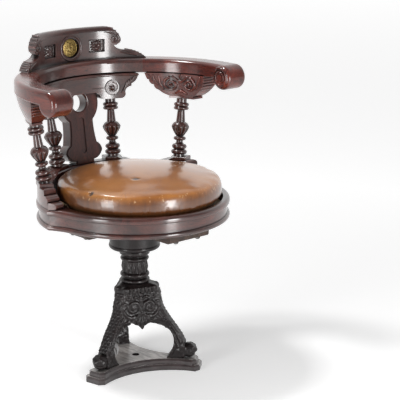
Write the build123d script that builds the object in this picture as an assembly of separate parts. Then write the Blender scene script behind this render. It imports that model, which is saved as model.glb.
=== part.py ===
from build123d import *
import math
import os

# Sizes are millimetres. The floor is z = 0, the swivel axis is x = y = 0 and the sitter faces -Y.

# Clearances
running_clearance = 0.05
press_clearance = 0.05
joint_clearance = 0.1
swivel_gap = 0.2
seat_pad_gap = 0.3

# Plinth: a hollow-sided triangle with blunt tips
base_turn = -19
leg_count = 3
plinth_tip_radius = 161
plinth_tip_width = 60
plinth_waist = 57
plinth_step_height = 14
plinth_height = 26
plinth_inset = 8
plinth_edge_round = 4
plinth_tip_cut = 11
deck_bolt_radius = 9

# Tripod casting
tripod_rise = 191
shoulder_radius = 54
shoulder_slope = 8
leg_width = 28
leg_knee_radius = 67
leg_knee_rise = 126
leg_shin_radius = 107
leg_shin_rise = 65
leg_foot_radius = 121
leg_foot_rise = 38
leg_heel_radius = 78
ankle_flare = 0.35
arch_flare = 0.7
arch_radius = 94
arch_spring_rise = 29
arch_crown_rise = 88
leg_core_radius = 32
foot_knob_radius = 18
foot_knob_reach = 150
foot_knob_gap = 1
crown_floor = 124
nut_room_radius = 33
skirt_radius = 76
skirt_rise = 74
skirt_half_width = 62
skirt_edge_rise = 80
pendant_rise = 79
pendant_half_width = 18
pendant_side_rise = 93
pendant_belly = 3
skirt_arch_rise = 100

# Plinth bolts
plinth_bolt_ring = 104
plinth_bolt_radius = 4
plinth_bolt_head_radius = 8
plinth_bolt_head = 5
plinth_bolt_grip = 18
plinth_bolt_recess = 1

# Turned iron column, heights measured from the tripod's top
column_height = 79
column_neck_radius = 33
column_neck_bead = 36
column_neck_half_height = 4
column_neck_bevel = 2
column_lower_ring_radius = 35.5
column_lower_ring_rise = 18
column_lower_half_height = 5
column_radius = 28
column_upper_ring_radius = 34.5
column_upper_ring_rise = 58
column_upper_half_height = 4.5
column_cove_radius = 30
column_cove_rise = 66.5
column_head_radius = 36.5
column_head_rise = 69.5
column_head_bevel = 2
spigot_radius = 24
spigot_length = 27
bush_wall = 5
bush_length = 22
bore_relief = 2

# Swivel spindle and what keeps it in
swivel_radius = 14
thrust_washer_thickness = 2
thrust_washer_radius = 31
keeper_washer_radius = 25
keeper_washer_thickness = 4
keeper_nut_flats = 36
keeper_nut_thickness = 14
spindle_tail = 9
split_pin_radius = 2
split_pin_length = 38

# Iron flange under the seat
flange_height = 62
flange_radius = 60
flange_edge_round = 14
flange_plate_radius = 84
flange_plate_thickness = 8
flange_screw_ring = 71

# Wood screws
screw_radius = 2.8
screw_head_radius = 6
screw_head_height = 4
screw_tip = 5
round_head_radius = 6.5
round_head_height = 5
round_head_fullness = (0.75, 0.7)
flange_screw_length = 24
bearer_screw_length = 34
rail_screw_length = 70
crest_screw_length = 58

# Halved cross bearers
bearer_thickness = 22
long_bearer_width = 119
long_bearer_setback = 45
cross_bearer_width = 92
cross_bearer_setback = 68
bearer_end_round = 8
long_screw_spread = 66
long_screw_setback = 10
cross_screw_spread = 50
cross_screw_setback = 14

# Seat frame
frame_thickness = 50
frame_rear_radius = 246
frame_front_setback = 24
frame_front_centre_y = -10
ear_angle = 9.4
front_blend_angle = 9.1
frame_bead_height = 12
frame_bead_fullness = 0.45
frame_fascia_height = 23
frame_fascia_inset = 6
frame_lip_round = 8
frame_lip_under_round = 3
frame_ledge_width = 48
seat_well_wall = 48
seat_well_depth = 32
seat_centre_y = -22
frame_front_joint = 50
frame_rear_joint = 40
dowel_radius = 5
dowel_length = 40
frame_dowel_spread = 32

# Drop-in cushion
board_side_gap = 3
board_thickness = 10
pad_side_gap = 5
pad_foot_inset = 6
pad_wall_height = 38
pad_wall_draw = 1
pad_belly_share = 0.55
pad_shoulder_inset = 19
pad_shoulder_rise = 67
pad_bulge_inset = 5
pad_bulge_drop = 11
pad_crown_rise = 87

# Common centre of the horseshoe rail, the apron, the bow and the crest
ring_centre_y = -24

# Horseshoe rail on the seat
horseshoe_setback = 2
horseshoe_width = 34
horseshoe_height = 42
horseshoe_round = 8
horseshoe_joint_angle = 47
horseshoe_dip = 13
horseshoe_dip_length = 116
horseshoe_dowel_rise = 17
horseshoe_margin = 3
rail_overrun = 60
foot_toe_y = 2
foot_heel_y = 46
foot_toe_height = 12
foot_step_height = 24
foot_toe_nose = 4
foot_toe_crown = (9, 3)
foot_toe_end = (4, 1)
foot_step_hollow = (6, 5)
foot_step_crown = (8, 4)
foot_step_end = (8, 3)
foot_heel_drop = 6
plinth_block_height = 8
plinth_block_length = 50
plinth_block_width = 33
plinth_block_round = 2
horseshoe_screw_angles = (14, 38, 78)

# Turned spindles under the arms, heights measured up from the foot and down from the head
spindle_front_angle = 25.5
spindle_rear_angle = 67.8
spindle_foot_offset = 1
spindle_lean = 20
spindle_rise = 143
spindle_foot_radius = 14
spindle_trim = 4
foot_ring_radius = 20
foot_ring_rise = 10
foot_ring_half_height = 6
second_ring_radius = 18.5
second_ring_rise = 24
ring_quirk = 1
waist_gap = 11
waist_half_height = 4
waist_flare = 0.5
collar_radius = 15.5
collar_rise = 43.5
collar_half_height = 4.5
spindle_waist_radius = 8.4
bulb_radius = 21.6
bulb_rise = 72.5
bulb_low_radius = 10.5
bulb_low_rise = 50.5
bulb_taper_radius = 17.3
bulb_taper_rise = 62
bulb_cheek_inset = 1.8
bulb_cheek_rise = 6
neck_foot_radius = 11.4
neck_foot_rise = 12.5
spindle_neck_radius = 9
spindle_neck_drop = 31
head_ring_radius = 19
head_ring_drops = (25.5, 15.5)
head_ring_half_height = 4.2
head_groove_radius = 13
spindle_flutes = 10
flute_radius = 2.8
flute_lift = 2
flute_run = 5
tenon_radius = 7
tenon_length = 20

# Pierced splat, heights measured up from its foot
splat_thickness = 34
splat_lean = 8
splat_foot_half_width = 28
splat_foot_rise = 5
splat_toe_half_width = 56
splat_toe_rise = 26
splat_toe_hollow = 9
splat_toe_nose = (4, 11)
splat_ankle_half_width = 41.5
splat_ankle_rise = 46.5
splat_waist_half_width = 36
splat_waist_rise = 102.5
splat_waist_bulge = 1
splat_neck_flare = (5, 10)
splat_neck_half_width = 50
splat_neck_rise = 126
splat_eye_rise = 148
splat_head_radius = 57
splat_eye_radius = 22
splat_eye_round = 5
splat_edge_width = 4
splat_edge_step = 2.5
splat_panel_width = 15
splat_panel_depth = 3
splat_panel_low = 24
splat_panel_high = 112
splat_tenon_width = 50
splat_tenon_thickness = 14
splat_tenon_length = 14
tenon_bite = 1

# Apron below the bow and its turned roundels
apron_inset = 5
apron_thickness = 28
apron_height = 62
apron_end_x = 143
apron_lobe_half_width = 30
apron_sweep = 50
apron_bay_rise = 18
apron_bay_setback = 14
apron_ogee_high = (3, 13)
apron_ogee_rise = 6
apron_ogee_low = (4, 1)
apron_lobe_round = 12
apron_lobe_corner = 3
apron_step_hollow = (2, 24)
apron_step_rise = 30
apron_step_height = 6
apron_end_hollow = (4, 44)
apron_bead_radius = 3.2
apron_line_radius = 1
apron_line_start_x = 36
apron_dowel_angles = (60, 80, 100, 120)
apron_dowel_offset = 4
upright_dowel_length = 28
roundel_x = 88
roundel_rise = 28
roundel_radius = 18.5
roundel_button_radius = 7
roundel_proud = 1.6
roundel_button_proud = 3.2
roundel_bed = 3
roundel_groove = 1.2
roundel_edge = 1
roundel_dish = 0.8

# Carved brackets between the front spindles and the arms
bracket_inner_inset = 2
bracket_outer_inset = 3
bracket_foot_inner_inset = 5
bracket_foot_outer_inset = 19
bracket_front_y = 11
bracket_rear_y = 148
bracket_foot_front = 36
bracket_foot_rear = 19
bracket_foot_height = 5
bracket_foot_lip = 3
bracket_front_hollow = 8
bracket_sweep = 60
bracket_dowel_y = (50, 108)
bracket_dowel_offset = 6

# Bow rail and scrolled arms
bow_offset = 14
bow_width = 54
bow_thickness = 34
bow_round = 10
bow_lower_round = 3
bow_joint_angle = 48.5
arm_straight = 28
arm_scroll_radius = 30
arm_scroll_proud = 6
scroll_cove = 30
cove_fullness = 0.3
cove_dip = 0.35
cove_sweep = 30
volute_ring_radius = 19
volute_groove_radius = 2.4
volute_eye_radius = 8
volute_eye_proud = 1.5
bow_dowel_spread = 24

# Crest
crest_thickness = 28
crest_height = 79
crest_top_round = 12
crest_sweep = 60
crest_flat_half_width = 98
crest_shoulder_x = 119
crest_shoulder_drop = 13
crest_scroll_x = 128.5
crest_scroll_drop = 32
crest_scroll_nose = (2, 8)
crest_curl_x = 119
crest_curl_drop = 44.5
crest_neck_x = 113
crest_neck_drop = 47
crest_neck_hollow = (7, 4)
crest_ledge_height = 21
crest_ledge_start_x = 131
crest_ledge_slope = 3
crest_ledge_end_x = 151
crest_end_x = 179
crest_end_hollow = 11
crest_screw_angles = (62, 82, 98, 118)
medallion_rise = 33
medallion_radius = 22
medallion_thickness = 4
medallion_rim = 3
medallion_rim_height = 1
medallion_crown = 1
well_radius = 24.5
well_depth = 9
well_bead_radius = 3
panel_angle = 15.8
panel_width = 42
panel_height = 32
panel_depth = 5
panel_petal_radius = 8
petal_sink = 4.4
petal_reach = 6.4

# Radii that follow from the seat's and the bow's sizes
frame_front_radius = frame_rear_radius - frame_front_setback
seat_well_radius = frame_rear_radius - seat_well_wall
frame_opening_radius = seat_well_radius - frame_ledge_width
frame_dowel_outer_ring = seat_well_radius
frame_dowel_inner_ring = frame_dowel_outer_ring - frame_dowel_spread
long_bearer_length = 2 * (frame_rear_radius - long_bearer_setback)
cross_bearer_length = 2 * (frame_rear_radius - cross_bearer_setback)
board_radius = seat_well_radius - board_side_gap
pad_radius = seat_well_radius - pad_side_gap
pad_foot_radius = pad_radius - pad_foot_inset
pad_shoulder_radius = pad_radius - pad_shoulder_inset
horseshoe_outer = frame_rear_radius - horseshoe_setback
horseshoe_inner = horseshoe_outer - horseshoe_width
horseshoe_middle = (horseshoe_inner + horseshoe_outer) / 2
spindle_foot_ring = horseshoe_middle + spindle_foot_offset
spindle_head_ring = spindle_foot_ring + spindle_lean
bow_middle = spindle_head_ring + bow_offset
bow_inner = bow_middle - bow_width / 2
bow_outer = bow_middle + bow_width / 2
apron_inner = bow_inner - apron_inset
apron_outer = apron_inner + apron_thickness
bracket_inner = bow_inner - bracket_inner_inset
bracket_outer = bow_outer - bracket_outer_inset
crest_inner = bow_outer - crest_thickness
crest_screw_ring = bow_outer - crest_thickness / 2

# Levels, from the floor up
tripod_top = plinth_height + tripod_rise
column_top = tripod_top + column_height
flange_bottom = column_top + thrust_washer_thickness + swivel_gap
bearer_bottom = flange_bottom + flange_height
frame_bottom = bearer_bottom + bearer_thickness
frame_top = frame_bottom + frame_thickness
seat_ledge = frame_top - seat_well_depth
horseshoe_top = frame_top + horseshoe_height
spindle_foot = horseshoe_top + plinth_block_height
spindle_head = spindle_foot + spindle_rise
bow_bottom = spindle_head + apron_height
bow_top = bow_bottom + bow_thickness
crest_top = bow_top + crest_height

leg_angles = [base_turn + 90 + turn * 360 / leg_count for turn in range(leg_count)]
ring_centre = Pos(0, ring_centre_y, 0)
radius_tolerance = 0.01
on_base = (Align.CENTER, Align.CENTER, Align.MIN)
far = 1000


def upright(point):
    return Vector(point[0], 0, point[1])


def sideways(point):
    return Vector(0, point[0], point[1])


def drawn(place, start, *moves):
    """Face inside an outline: each move is a corner, or the midpoint and end of an arc."""
    edges = []
    here = start
    for move in moves:
        if isinstance(move[0], tuple):
            edges.append(ThreePointArc(place(here), place(move[0]), place(move[1])))
            here = move[1]
        else:
            edges.append(Line(place(here), place(move)))
            here = move
    if here != start:
        edges.append(Line(place(here), place(start)))
    return make_face(edges)


def turned(start, *moves):
    return revolve(drawn(upright, start, *moves), Axis.Z)


def dome(rim, low, high):
    """Arc of a ball from a rim up to the axis."""
    rise = high - low
    ball = (rim ** 2 + rise ** 2) / (2 * rise)
    half_turn = math.asin(rim / ball) / 2
    return (ball * math.sin(half_turn), high - ball * (1 - math.cos(half_turn))), (0, high)


def tube(outer, inner, bottom, height):
    bore = Cylinder(inner, height, align=on_base)
    return Pos(0, 0, bottom) * (Cylinder(outer, height, align=on_base) - bore)


def corner_inset(radius):
    """How far a rounded corner's middle lies in from its two sides."""
    return radius * (1 - math.sqrt(0.5))


def ring_arc(section, start_angle, end_angle):
    """Turn a radius-height section about the common centre between two angles."""
    swept = revolve(section, Axis.Z, revolution_arc=end_angle - start_angle)
    return ring_centre * Rot(0, 0, start_angle) * swept


def ring_point(radius, angle, height):
    turn = math.radians(angle)
    return Vector(radius * math.cos(turn), ring_centre_y + radius * math.sin(turn), height)


def wedge(centre_y, start_angle, end_angle):
    """Endless upright wedge between two angles."""
    corners = [(0, 0)]
    for angle in (start_angle, (start_angle + end_angle) / 2, end_angle):
        corners.append((far * math.cos(math.radians(angle)), far * math.sin(math.radians(angle))))
    return Pos(0, centre_y, 0) * extrude(make_face(Polyline(*corners, close=True)), far)


def facing(radius, angle, height):
    """Plane on the ring that looks in at its centre."""
    turn = math.radians(angle)
    inwards = Vector(-math.cos(turn), -math.sin(turn), 0)
    along = Vector(math.sin(turn), -math.cos(turn), 0)
    return Plane(origin=ring_point(radius, angle, height), x_dir=along, z_dir=inwards)


def slab(bottom, top):
    return Pos(0, 0, bottom) * Box(far, far, top - bottom, align=on_base)


def across(face):
    """Run a side profile through the whole width."""
    return extrude(face, far, dir=(1, 0, 0), both=True)


def through(face):
    """Run a front profile through the whole depth."""
    return extrude(face, far, dir=(0, 1, 0), both=True)


def mirrored(shape):
    return mirror(shape, about=Plane.YZ)


def wood_screw(length, clearance=0.0):
    """Countersunk screw that points up from its head."""
    shank = screw_radius + clearance
    head = screw_head_radius + clearance
    return turned(
        (0, 0), (head, 0), (shank, screw_head_height), (shank, length - screw_tip), (0, length + clearance)
    )


def round_screw(length, clearance=0.0):
    """Round-headed screw that points up, with its head below the wood."""
    shank = screw_radius + clearance
    cheek = (round_head_radius * round_head_fullness[0], -round_head_height * round_head_fullness[1])
    return turned(
        (0, -round_head_height),
        (cheek, (round_head_radius, 0)),
        (shank, 0),
        (shank, length - screw_tip),
        (0, length + clearance),
    )


def screw_set(places, length, clearance=0.0, screw=wood_screw):
    return [Pos(*place) * screw(length, clearance) for place in places]


def peg(start, direction, length, clearance=0.0):
    """Round dowel with its middle at a point."""
    across_peg = Plane(origin=start, z_dir=direction)
    return across_peg * Cylinder(dowel_radius + clearance, length + 2 * clearance)


def group(solids):
    return Compound(children=list(solids))


# Plinth
def plinth_outline(inset):
    tip = plinth_tip_radius - inset
    half_width = plinth_tip_width / 2 - inset / 2
    edges = []
    for angle in leg_angles:
        turn = Rot(0, 0, angle)
        next_turn = Rot(0, 0, angle + 360 / leg_count)
        middle_turn = Rot(0, 0, angle + 180 / leg_count)
        corners = [
            (turn * Pos(reach, side, 0)).position
            for reach, side in (
                (tip - plinth_tip_cut, -half_width),
                (tip, plinth_tip_cut - half_width),
                (tip, half_width - plinth_tip_cut),
                (tip - plinth_tip_cut, half_width),
            )
        ]
        next_corner = (next_turn * Pos(tip - plinth_tip_cut, -half_width, 0)).position
        waist = (middle_turn * Pos(plinth_waist - inset, 0, 0)).position
        edges += [Line(first, second) for first, second in zip(corners, corners[1:])]
        edges.append(ThreePointArc(corners[-1], waist, next_corner))
    return make_face(edges)


def plinth_bolt(clearance=0.0):
    length = plinth_height + plinth_bolt_grip
    head = Cylinder(plinth_bolt_head_radius + clearance, plinth_bolt_head + clearance, align=on_base)
    if clearance:
        head += Pos(0, 0, -plinth_bolt_recess) * head
    return head + Cylinder(plinth_bolt_radius + clearance, length + clearance, align=on_base)


def plinth_bolt_set(clearance=0.0):
    place = Pos(plinth_bolt_ring, 0, plinth_bolt_recess)
    return [Rot(0, 0, angle) * place * plinth_bolt(clearance) for angle in leg_angles]


lower_step = extrude(plinth_outline(0), plinth_step_height)
lower_step = chamfer(lower_step.edges().group_by(Axis.Z)[-1], plinth_edge_round)
upper_step = extrude(plinth_outline(plinth_inset), plinth_height)
upper_step = chamfer(upper_step.edges().group_by(Axis.Z)[-1], plinth_edge_round)
base_plinth = lower_step + upper_step
base_plinth -= Cylinder(deck_bolt_radius, plinth_height, align=on_base)
base_plinth -= plinth_bolt_set(joint_clearance)
plinth_bolts = group(plinth_bolt_set())


# Tripod casting: three curved legs under a three-sided crown that holds the column
def leg_profile():
    shoulder = upright((shoulder_radius, tripod_rise - shoulder_slope))
    knee = upright((leg_knee_radius, leg_knee_rise))
    shin = upright((leg_shin_radius, leg_shin_rise))
    ankle = upright((leg_foot_radius, leg_foot_rise))
    foot = upright((leg_foot_radius, 0))
    heel = upright((leg_heel_radius, 0))
    spring = upright((arch_radius, arch_spring_rise))
    crown_end = upright((leg_core_radius, arch_crown_rise))
    top = upright((leg_core_radius, tripod_rise))
    outer = Spline(shoulder, knee, shin, ankle, tangents=[(0, 0, -1), (ankle_flare, 0, -1)])
    inner = Spline(heel, spring, crown_end, tangents=[(arch_flare, 0, 1), (-1, 0, 0)])
    sole = [Line(ankle, foot), Line(foot, heel)]
    core = [Line(crown_end, top), Line(top, shoulder)]
    return make_face([outer] + sole + [inner] + core)


def crown_outline(radius, height):
    """Six-sided outline whose short sides are the legs' outer edges."""
    corners = []
    for angle in leg_angles:
        for side in (-leg_width / 2, leg_width / 2):
            corners.append((Rot(0, 0, angle) * Pos(radius, side, height)).position)
    return make_face(Polyline(*corners, close=True))


def skirt_cut():
    """Everything below a skirt's pendant and its two small arches."""
    right = (pendant_half_width + skirt_half_width) / 2
    return drawn(
        sideways,
        (0, pendant_rise),
        ((pendant_half_width / 2, pendant_side_rise - pendant_belly), (pendant_half_width, pendant_side_rise)),
        ((right, skirt_arch_rise), (skirt_half_width, skirt_edge_rise)),
        (skirt_half_width, 0),
        (-skirt_half_width, 0),
        (-skirt_half_width, skirt_edge_rise),
        ((-right, skirt_arch_rise), (-pendant_half_width, pendant_side_rise)),
        ((-pendant_half_width / 2, pendant_side_rise - pendant_belly), (0, pendant_rise)),
    )


leg = extrude(leg_profile(), leg_width / 2, dir=(0, 1, 0), both=True)
knob_place = Pos(foot_knob_reach - foot_knob_radius, 0, foot_knob_radius + foot_knob_gap)
leg += knob_place * Sphere(foot_knob_radius)
crown_sections = [
    crown_outline(skirt_radius, skirt_rise),
    crown_outline(shoulder_radius, tripod_rise - shoulder_slope),
    crown_outline(column_neck_radius, tripod_rise),
]
tripod = loft(crown_sections, ruled=True)
for angle in leg_angles:
    tripod -= Rot(0, 0, angle + 180 / leg_count) * extrude(skirt_cut(), far, dir=(1, 0, 0))
tripod -= Cylinder(nut_room_radius, crown_floor, align=on_base)
for angle in leg_angles:
    tripod += Rot(0, 0, angle) * leg
spigot_floor = tripod_rise - spigot_length
tripod -= Pos(0, 0, spigot_floor) * Cylinder(spigot_radius + press_clearance, spigot_length, align=on_base)
tripod -= Cylinder(swivel_radius + bore_relief, tripod_rise, align=on_base)
tripod_casting = Pos(0, 0, plinth_height) * tripod
tripod_casting -= plinth_bolt_set(joint_clearance)

# Column with its two bushes and the thrust washer
bush_radius = swivel_radius + running_clearance + bush_wall
bush_seat = bush_radius + press_clearance
relief_radius = swivel_radius + bore_relief
neck_top = 2 * column_neck_half_height
lower_ring_bottom = column_lower_ring_rise - column_lower_half_height
lower_ring_top = column_lower_ring_rise + column_lower_half_height
upper_ring_bottom = column_upper_ring_rise - column_upper_half_height
upper_ring_top = column_upper_ring_rise + column_upper_half_height
column_turning = turned(
    (relief_radius, -spigot_length + bush_length),
    (bush_seat, -spigot_length + bush_length),
    (bush_seat, -spigot_length),
    (spigot_radius, -spigot_length),
    (spigot_radius, 0),
    (column_neck_radius, 0),
    ((column_neck_bead, column_neck_half_height), (column_neck_radius, neck_top)),
    (column_radius, neck_top + column_neck_bevel),
    (column_radius, lower_ring_bottom),
    ((column_lower_ring_radius, column_lower_ring_rise), (column_radius, lower_ring_top)),
    (column_radius, upper_ring_bottom),
    ((column_upper_ring_radius, column_upper_ring_rise), (column_radius, upper_ring_top)),
    ((column_cove_radius, column_cove_rise), (column_head_radius, column_head_rise)),
    (column_head_radius, column_height - column_head_bevel),
    (column_head_radius - column_head_bevel, column_height),
    (bush_seat, column_height),
    (bush_seat, column_height - bush_length),
    (relief_radius, column_height - bush_length),
)
column = Pos(0, 0, tripod_top) * column_turning
bush_bore = swivel_radius + running_clearance
upper_bush = tube(bush_radius, bush_bore, column_top - bush_length, bush_length)
lower_bush = tube(bush_radius, bush_bore, tripod_top - spigot_length, bush_length)
thrust_washer = tube(thrust_washer_radius, bush_bore, column_top, thrust_washer_thickness)

# Swivel spindle with its washer, nut and split pin, which turn with the seat
crown_underside = plinth_height + crown_floor
washer_bottom = crown_underside - swivel_gap - keeper_washer_thickness
nut_bottom = washer_bottom - keeper_nut_thickness
spindle_bottom = nut_bottom - spindle_tail
keeper_bore = swivel_radius + press_clearance
split_pin_height = nut_bottom - split_pin_radius - joint_clearance
split_pin = Pos(0, 0, split_pin_height) * Rot(0, 90, 0) * Cylinder(split_pin_radius, split_pin_length)
pin_hole = Rot(0, 90, 0) * Cylinder(split_pin_radius + press_clearance, far)
spindle_rod = Cylinder(swivel_radius, bearer_bottom - spindle_bottom, align=on_base)
swivel_spindle = Pos(0, 0, spindle_bottom) * spindle_rod
swivel_spindle -= Pos(0, 0, split_pin_height) * pin_hole
keeper_washer = tube(keeper_washer_radius, keeper_bore, washer_bottom, keeper_washer_thickness)
nut_blank = extrude(RegularPolygon(keeper_nut_flats / 2, 6, major_radius=False), keeper_nut_thickness)
nut_hole = Cylinder(keeper_bore, keeper_nut_thickness, align=on_base)
keeper_nut = Pos(0, 0, nut_bottom) * (nut_blank - nut_hole)

# Flange under the bearers
edge_middle = corner_inset(flange_edge_round)
flange_turning = turned(
    (keeper_bore, 0),
    (flange_radius - flange_edge_round, 0),
    ((flange_radius - edge_middle, edge_middle), (flange_radius, flange_edge_round)),
    (flange_radius, flange_height - flange_plate_thickness),
    (flange_plate_radius, flange_height - flange_plate_thickness),
    (flange_plate_radius, flange_height),
    (keeper_bore, flange_height),
)
flange_screw_place = Pos(flange_screw_ring, 0, bearer_bottom - flange_plate_thickness)
flange_screw_places = [tuple((Rot(0, 0, turn) * flange_screw_place).position) for turn in (0, 90, 180, 270)]
seat_flange = Pos(0, 0, flange_bottom) * flange_turning
seat_flange -= screw_set(flange_screw_places, flange_screw_length, joint_clearance)
flange_screws = group(screw_set(flange_screw_places, flange_screw_length))

# Halved bearers
long_screw_y = long_bearer_length / 2 - long_screw_setback
cross_screw_x = cross_bearer_length / 2 - cross_screw_setback
bearer_screw_places = []
for side in (-1, 1):
    for end in (-1, 1):
        bearer_screw_places.append((side * long_screw_spread / 2, end * long_screw_y, bearer_bottom))
        bearer_screw_places.append((end * cross_screw_x, side * cross_screw_spread / 2, bearer_bottom))
bearer_cuts = screw_set(bearer_screw_places, bearer_screw_length, joint_clearance, round_screw)
bearer_cuts += screw_set(flange_screw_places, flange_screw_length, joint_clearance)


def bearer(width, length):
    blank = Box(width, length, bearer_thickness, align=on_base)
    ends = blank.edges().filter_by(Axis.X).group_by(Axis.Z)[0]
    return fillet(ends, bearer_end_round)


halving = Box(long_bearer_width, cross_bearer_width, bearer_thickness / 2, align=on_base)
long_blank = bearer(long_bearer_width, long_bearer_length) - Pos(0, 0, bearer_thickness / 2) * halving
cross_blank = Rot(0, 0, 90) * bearer(cross_bearer_width, cross_bearer_length) - halving
bearer_long = Pos(0, 0, bearer_bottom) * long_blank - bearer_cuts
bearer_cross = Pos(0, 0, bearer_bottom) * cross_blank - bearer_cuts
bearer_screws = group(screw_set(bearer_screw_places, bearer_screw_length, screw=round_screw))


# Seat frame: a moulded ring with ears, cut into four segments
def frame_outline(inset):
    rear = frame_rear_radius - inset
    front = frame_front_radius - inset
    ear_turn, blend_turn = math.radians(ear_angle), math.radians(front_blend_angle)
    ear = (rear * math.cos(ear_turn), ring_centre_y + rear * math.sin(ear_turn))
    blend = (front * math.cos(blend_turn), frame_front_centre_y - front * math.sin(blend_turn))
    tangent = (math.sin(blend_turn), math.cos(blend_turn))
    right = TangentArc(blend, ear, tangent=tangent)
    left = TangentArc((-blend[0], blend[1]), (-ear[0], ear[1]), tangent=(-tangent[0], tangent[1]))
    back = CenterArc((0, ring_centre_y), rear, ear_angle, 180 - 2 * ear_angle)
    nose = CenterArc((0, frame_front_centre_y), front, 180 + front_blend_angle, 180 - 2 * front_blend_angle)
    return make_face([right, back, left, nose])


bead = extrude(frame_outline(0), frame_bead_height)
bead_levels = bead.edges().group_by(Axis.Z)
bead = fillet(bead_levels[0] + bead_levels[-1], frame_bead_height * frame_bead_fullness)
lip_bottom = frame_bead_height + frame_fascia_height
fascia = extrude(frame_outline(frame_fascia_inset), lip_bottom)
lip = Pos(0, 0, lip_bottom) * extrude(frame_outline(0), frame_thickness - lip_bottom)
lip = fillet(lip.edges().group_by(Axis.Z)[-1], frame_lip_round)
lip = fillet(lip.edges().group_by(Axis.Z)[0], frame_lip_under_round)
seat_hole = Cylinder(frame_opening_radius, frame_thickness, align=on_base)
seat_well = Cylinder(seat_well_radius, seat_well_depth, align=on_base)
seat_hole += Pos(0, 0, frame_thickness - seat_well_depth) * seat_well
seat_ring = Pos(0, 0, frame_bottom) * (bead + fascia + lip - Pos(0, seat_centre_y, 0) * seat_hole)

frame_joints = (
    frame_front_joint - 90, 90 - frame_rear_joint, 90 + frame_rear_joint, 270 - frame_front_joint
)
dowel_level = frame_bottom + (frame_thickness - seat_well_depth) / 2


def frame_dowel_set(clearance=0.0):
    pegs = []
    for angle in frame_joints:
        turn = math.radians(angle)
        tangent = Vector(-math.sin(turn), math.cos(turn), 0)
        for ring in (frame_dowel_inner_ring, frame_dowel_outer_ring):
            middle = Vector(ring * math.cos(turn), seat_centre_y + ring * math.sin(turn), dowel_level)
            pegs.append(peg(middle, tangent, dowel_length, clearance))
    return pegs


rail_screw_places = []
for angle in horseshoe_screw_angles:
    for screw_angle in (angle, 180 - angle):
        rail_screw_places.append(tuple(ring_point(horseshoe_middle, screw_angle, frame_bottom)))
rail_screw_cuts = screw_set(rail_screw_places, rail_screw_length, joint_clearance)
frame_cuts = frame_dowel_set(joint_clearance) + rail_screw_cuts
frame_cuts += screw_set(bearer_screw_places, bearer_screw_length, joint_clearance, round_screw)
seat_ring -= frame_cuts
front_left, rear_left, rear_right, front_right = frame_joints
seat_frame_left = seat_ring & wedge(seat_centre_y, front_left, rear_left)
seat_frame_back = seat_ring & wedge(seat_centre_y, rear_left, rear_right)
seat_frame_right = seat_ring & wedge(seat_centre_y, rear_right, front_right)
seat_frame_front = seat_ring & wedge(seat_centre_y, front_right, front_left + 360)
frame_dowels = group(frame_dowel_set())
rail_screws = group(screw_set(rail_screw_places, rail_screw_length))

# Drop-in cushion on its board
board_bottom = seat_ledge + seat_pad_gap
board_top = board_bottom + board_thickness
cushion_board = Pos(0, seat_centre_y, board_bottom) * Cylinder(board_radius, board_thickness, align=on_base)
cushion_turning = turned(
    (0, 0),
    (pad_foot_radius, 0),
    ((pad_radius, pad_wall_height * pad_belly_share), (pad_radius - pad_wall_draw, pad_wall_height)),
    (
        (pad_radius - pad_bulge_inset, pad_shoulder_rise - pad_bulge_drop),
        (pad_shoulder_radius, pad_shoulder_rise),
    ),
    dome(pad_shoulder_radius, pad_shoulder_rise, pad_crown_rise),
)
cushion_pad = Pos(0, seat_centre_y, board_top) * cushion_turning


# Turned spindles
def spindle_axis(angle):
    foot = ring_point(spindle_foot_ring, angle, spindle_foot)
    head = ring_point(spindle_head_ring, angle, spindle_head)
    return Plane(origin=foot, z_dir=head - foot), (head - foot).length


def ring_move(radius, height, half_height, next_radius):
    """Half-round moulding on a turning, up to its upper edge."""
    return (radius, height), (next_radius, height + half_height)


def spindle_turning(length):
    foot_ring_top = foot_ring_rise + foot_ring_half_height
    collar_top = collar_rise + collar_half_height
    quirk_radius = spindle_foot_radius - ring_quirk
    waist_edge = spindle_waist_radius + waist_flare
    waist_rise = second_ring_rise + waist_gap
    neck_foot = (neck_foot_radius, bulb_rise + neck_foot_rise)
    lower_drop, upper_drop = head_ring_drops
    blank = turned(
        (0, -spindle_trim),
        (spindle_foot_radius, -spindle_trim),
        (spindle_foot_radius, foot_ring_rise - foot_ring_half_height),
        ring_move(foot_ring_radius, foot_ring_rise, foot_ring_half_height, spindle_foot_radius),
        (quirk_radius, foot_ring_top + ring_quirk),
        ring_move(second_ring_radius, second_ring_rise, foot_ring_half_height, quirk_radius - ring_quirk),
        ring_move(spindle_waist_radius, waist_rise, waist_half_height, waist_edge),
        ring_move(collar_radius, collar_rise, collar_half_height, waist_edge),
        (spindle_waist_radius, collar_top + ring_quirk),
        (bulb_low_radius, bulb_low_rise),
        ((bulb_taper_radius, bulb_taper_rise), (bulb_radius, bulb_rise)),
        ((bulb_radius - bulb_cheek_inset, bulb_rise + bulb_cheek_rise), neck_foot),
        (spindle_neck_radius, length - spindle_neck_drop),
        (head_groove_radius, length - lower_drop - head_ring_half_height),
        ring_move(head_ring_radius, length - lower_drop, head_ring_half_height, head_groove_radius),
        ring_move(head_ring_radius, length - upper_drop, head_ring_half_height, head_groove_radius),
        (head_groove_radius, length + spindle_trim),
        (0, length + spindle_trim),
    )
    path = ThreePointArc(
        upright((bulb_low_radius, bulb_low_rise)),
        upright((bulb_taper_radius, bulb_taper_rise)),
        upright((bulb_radius + flute_lift, bulb_rise + flute_run)),
    )
    flute = sweep(Plane(origin=path @ 0, z_dir=path % 0) * Circle(flute_radius), path)
    return blank - [Rot(0, 0, 360 * turn / spindle_flutes) * flute for turn in range(spindle_flutes)]


def spindle_core(angle, clearance=0.0):
    plane, length = spindle_axis(angle)
    core = Cylinder(tenon_radius + clearance, length + 2 * (tenon_length + clearance))
    return plane * Pos(0, 0, length / 2) * core


def spindle(angle):
    plane, length = spindle_axis(angle)
    trimmed = plane * spindle_turning(length) & slab(spindle_foot, spindle_head)
    return trimmed + spindle_core(angle)


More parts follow.
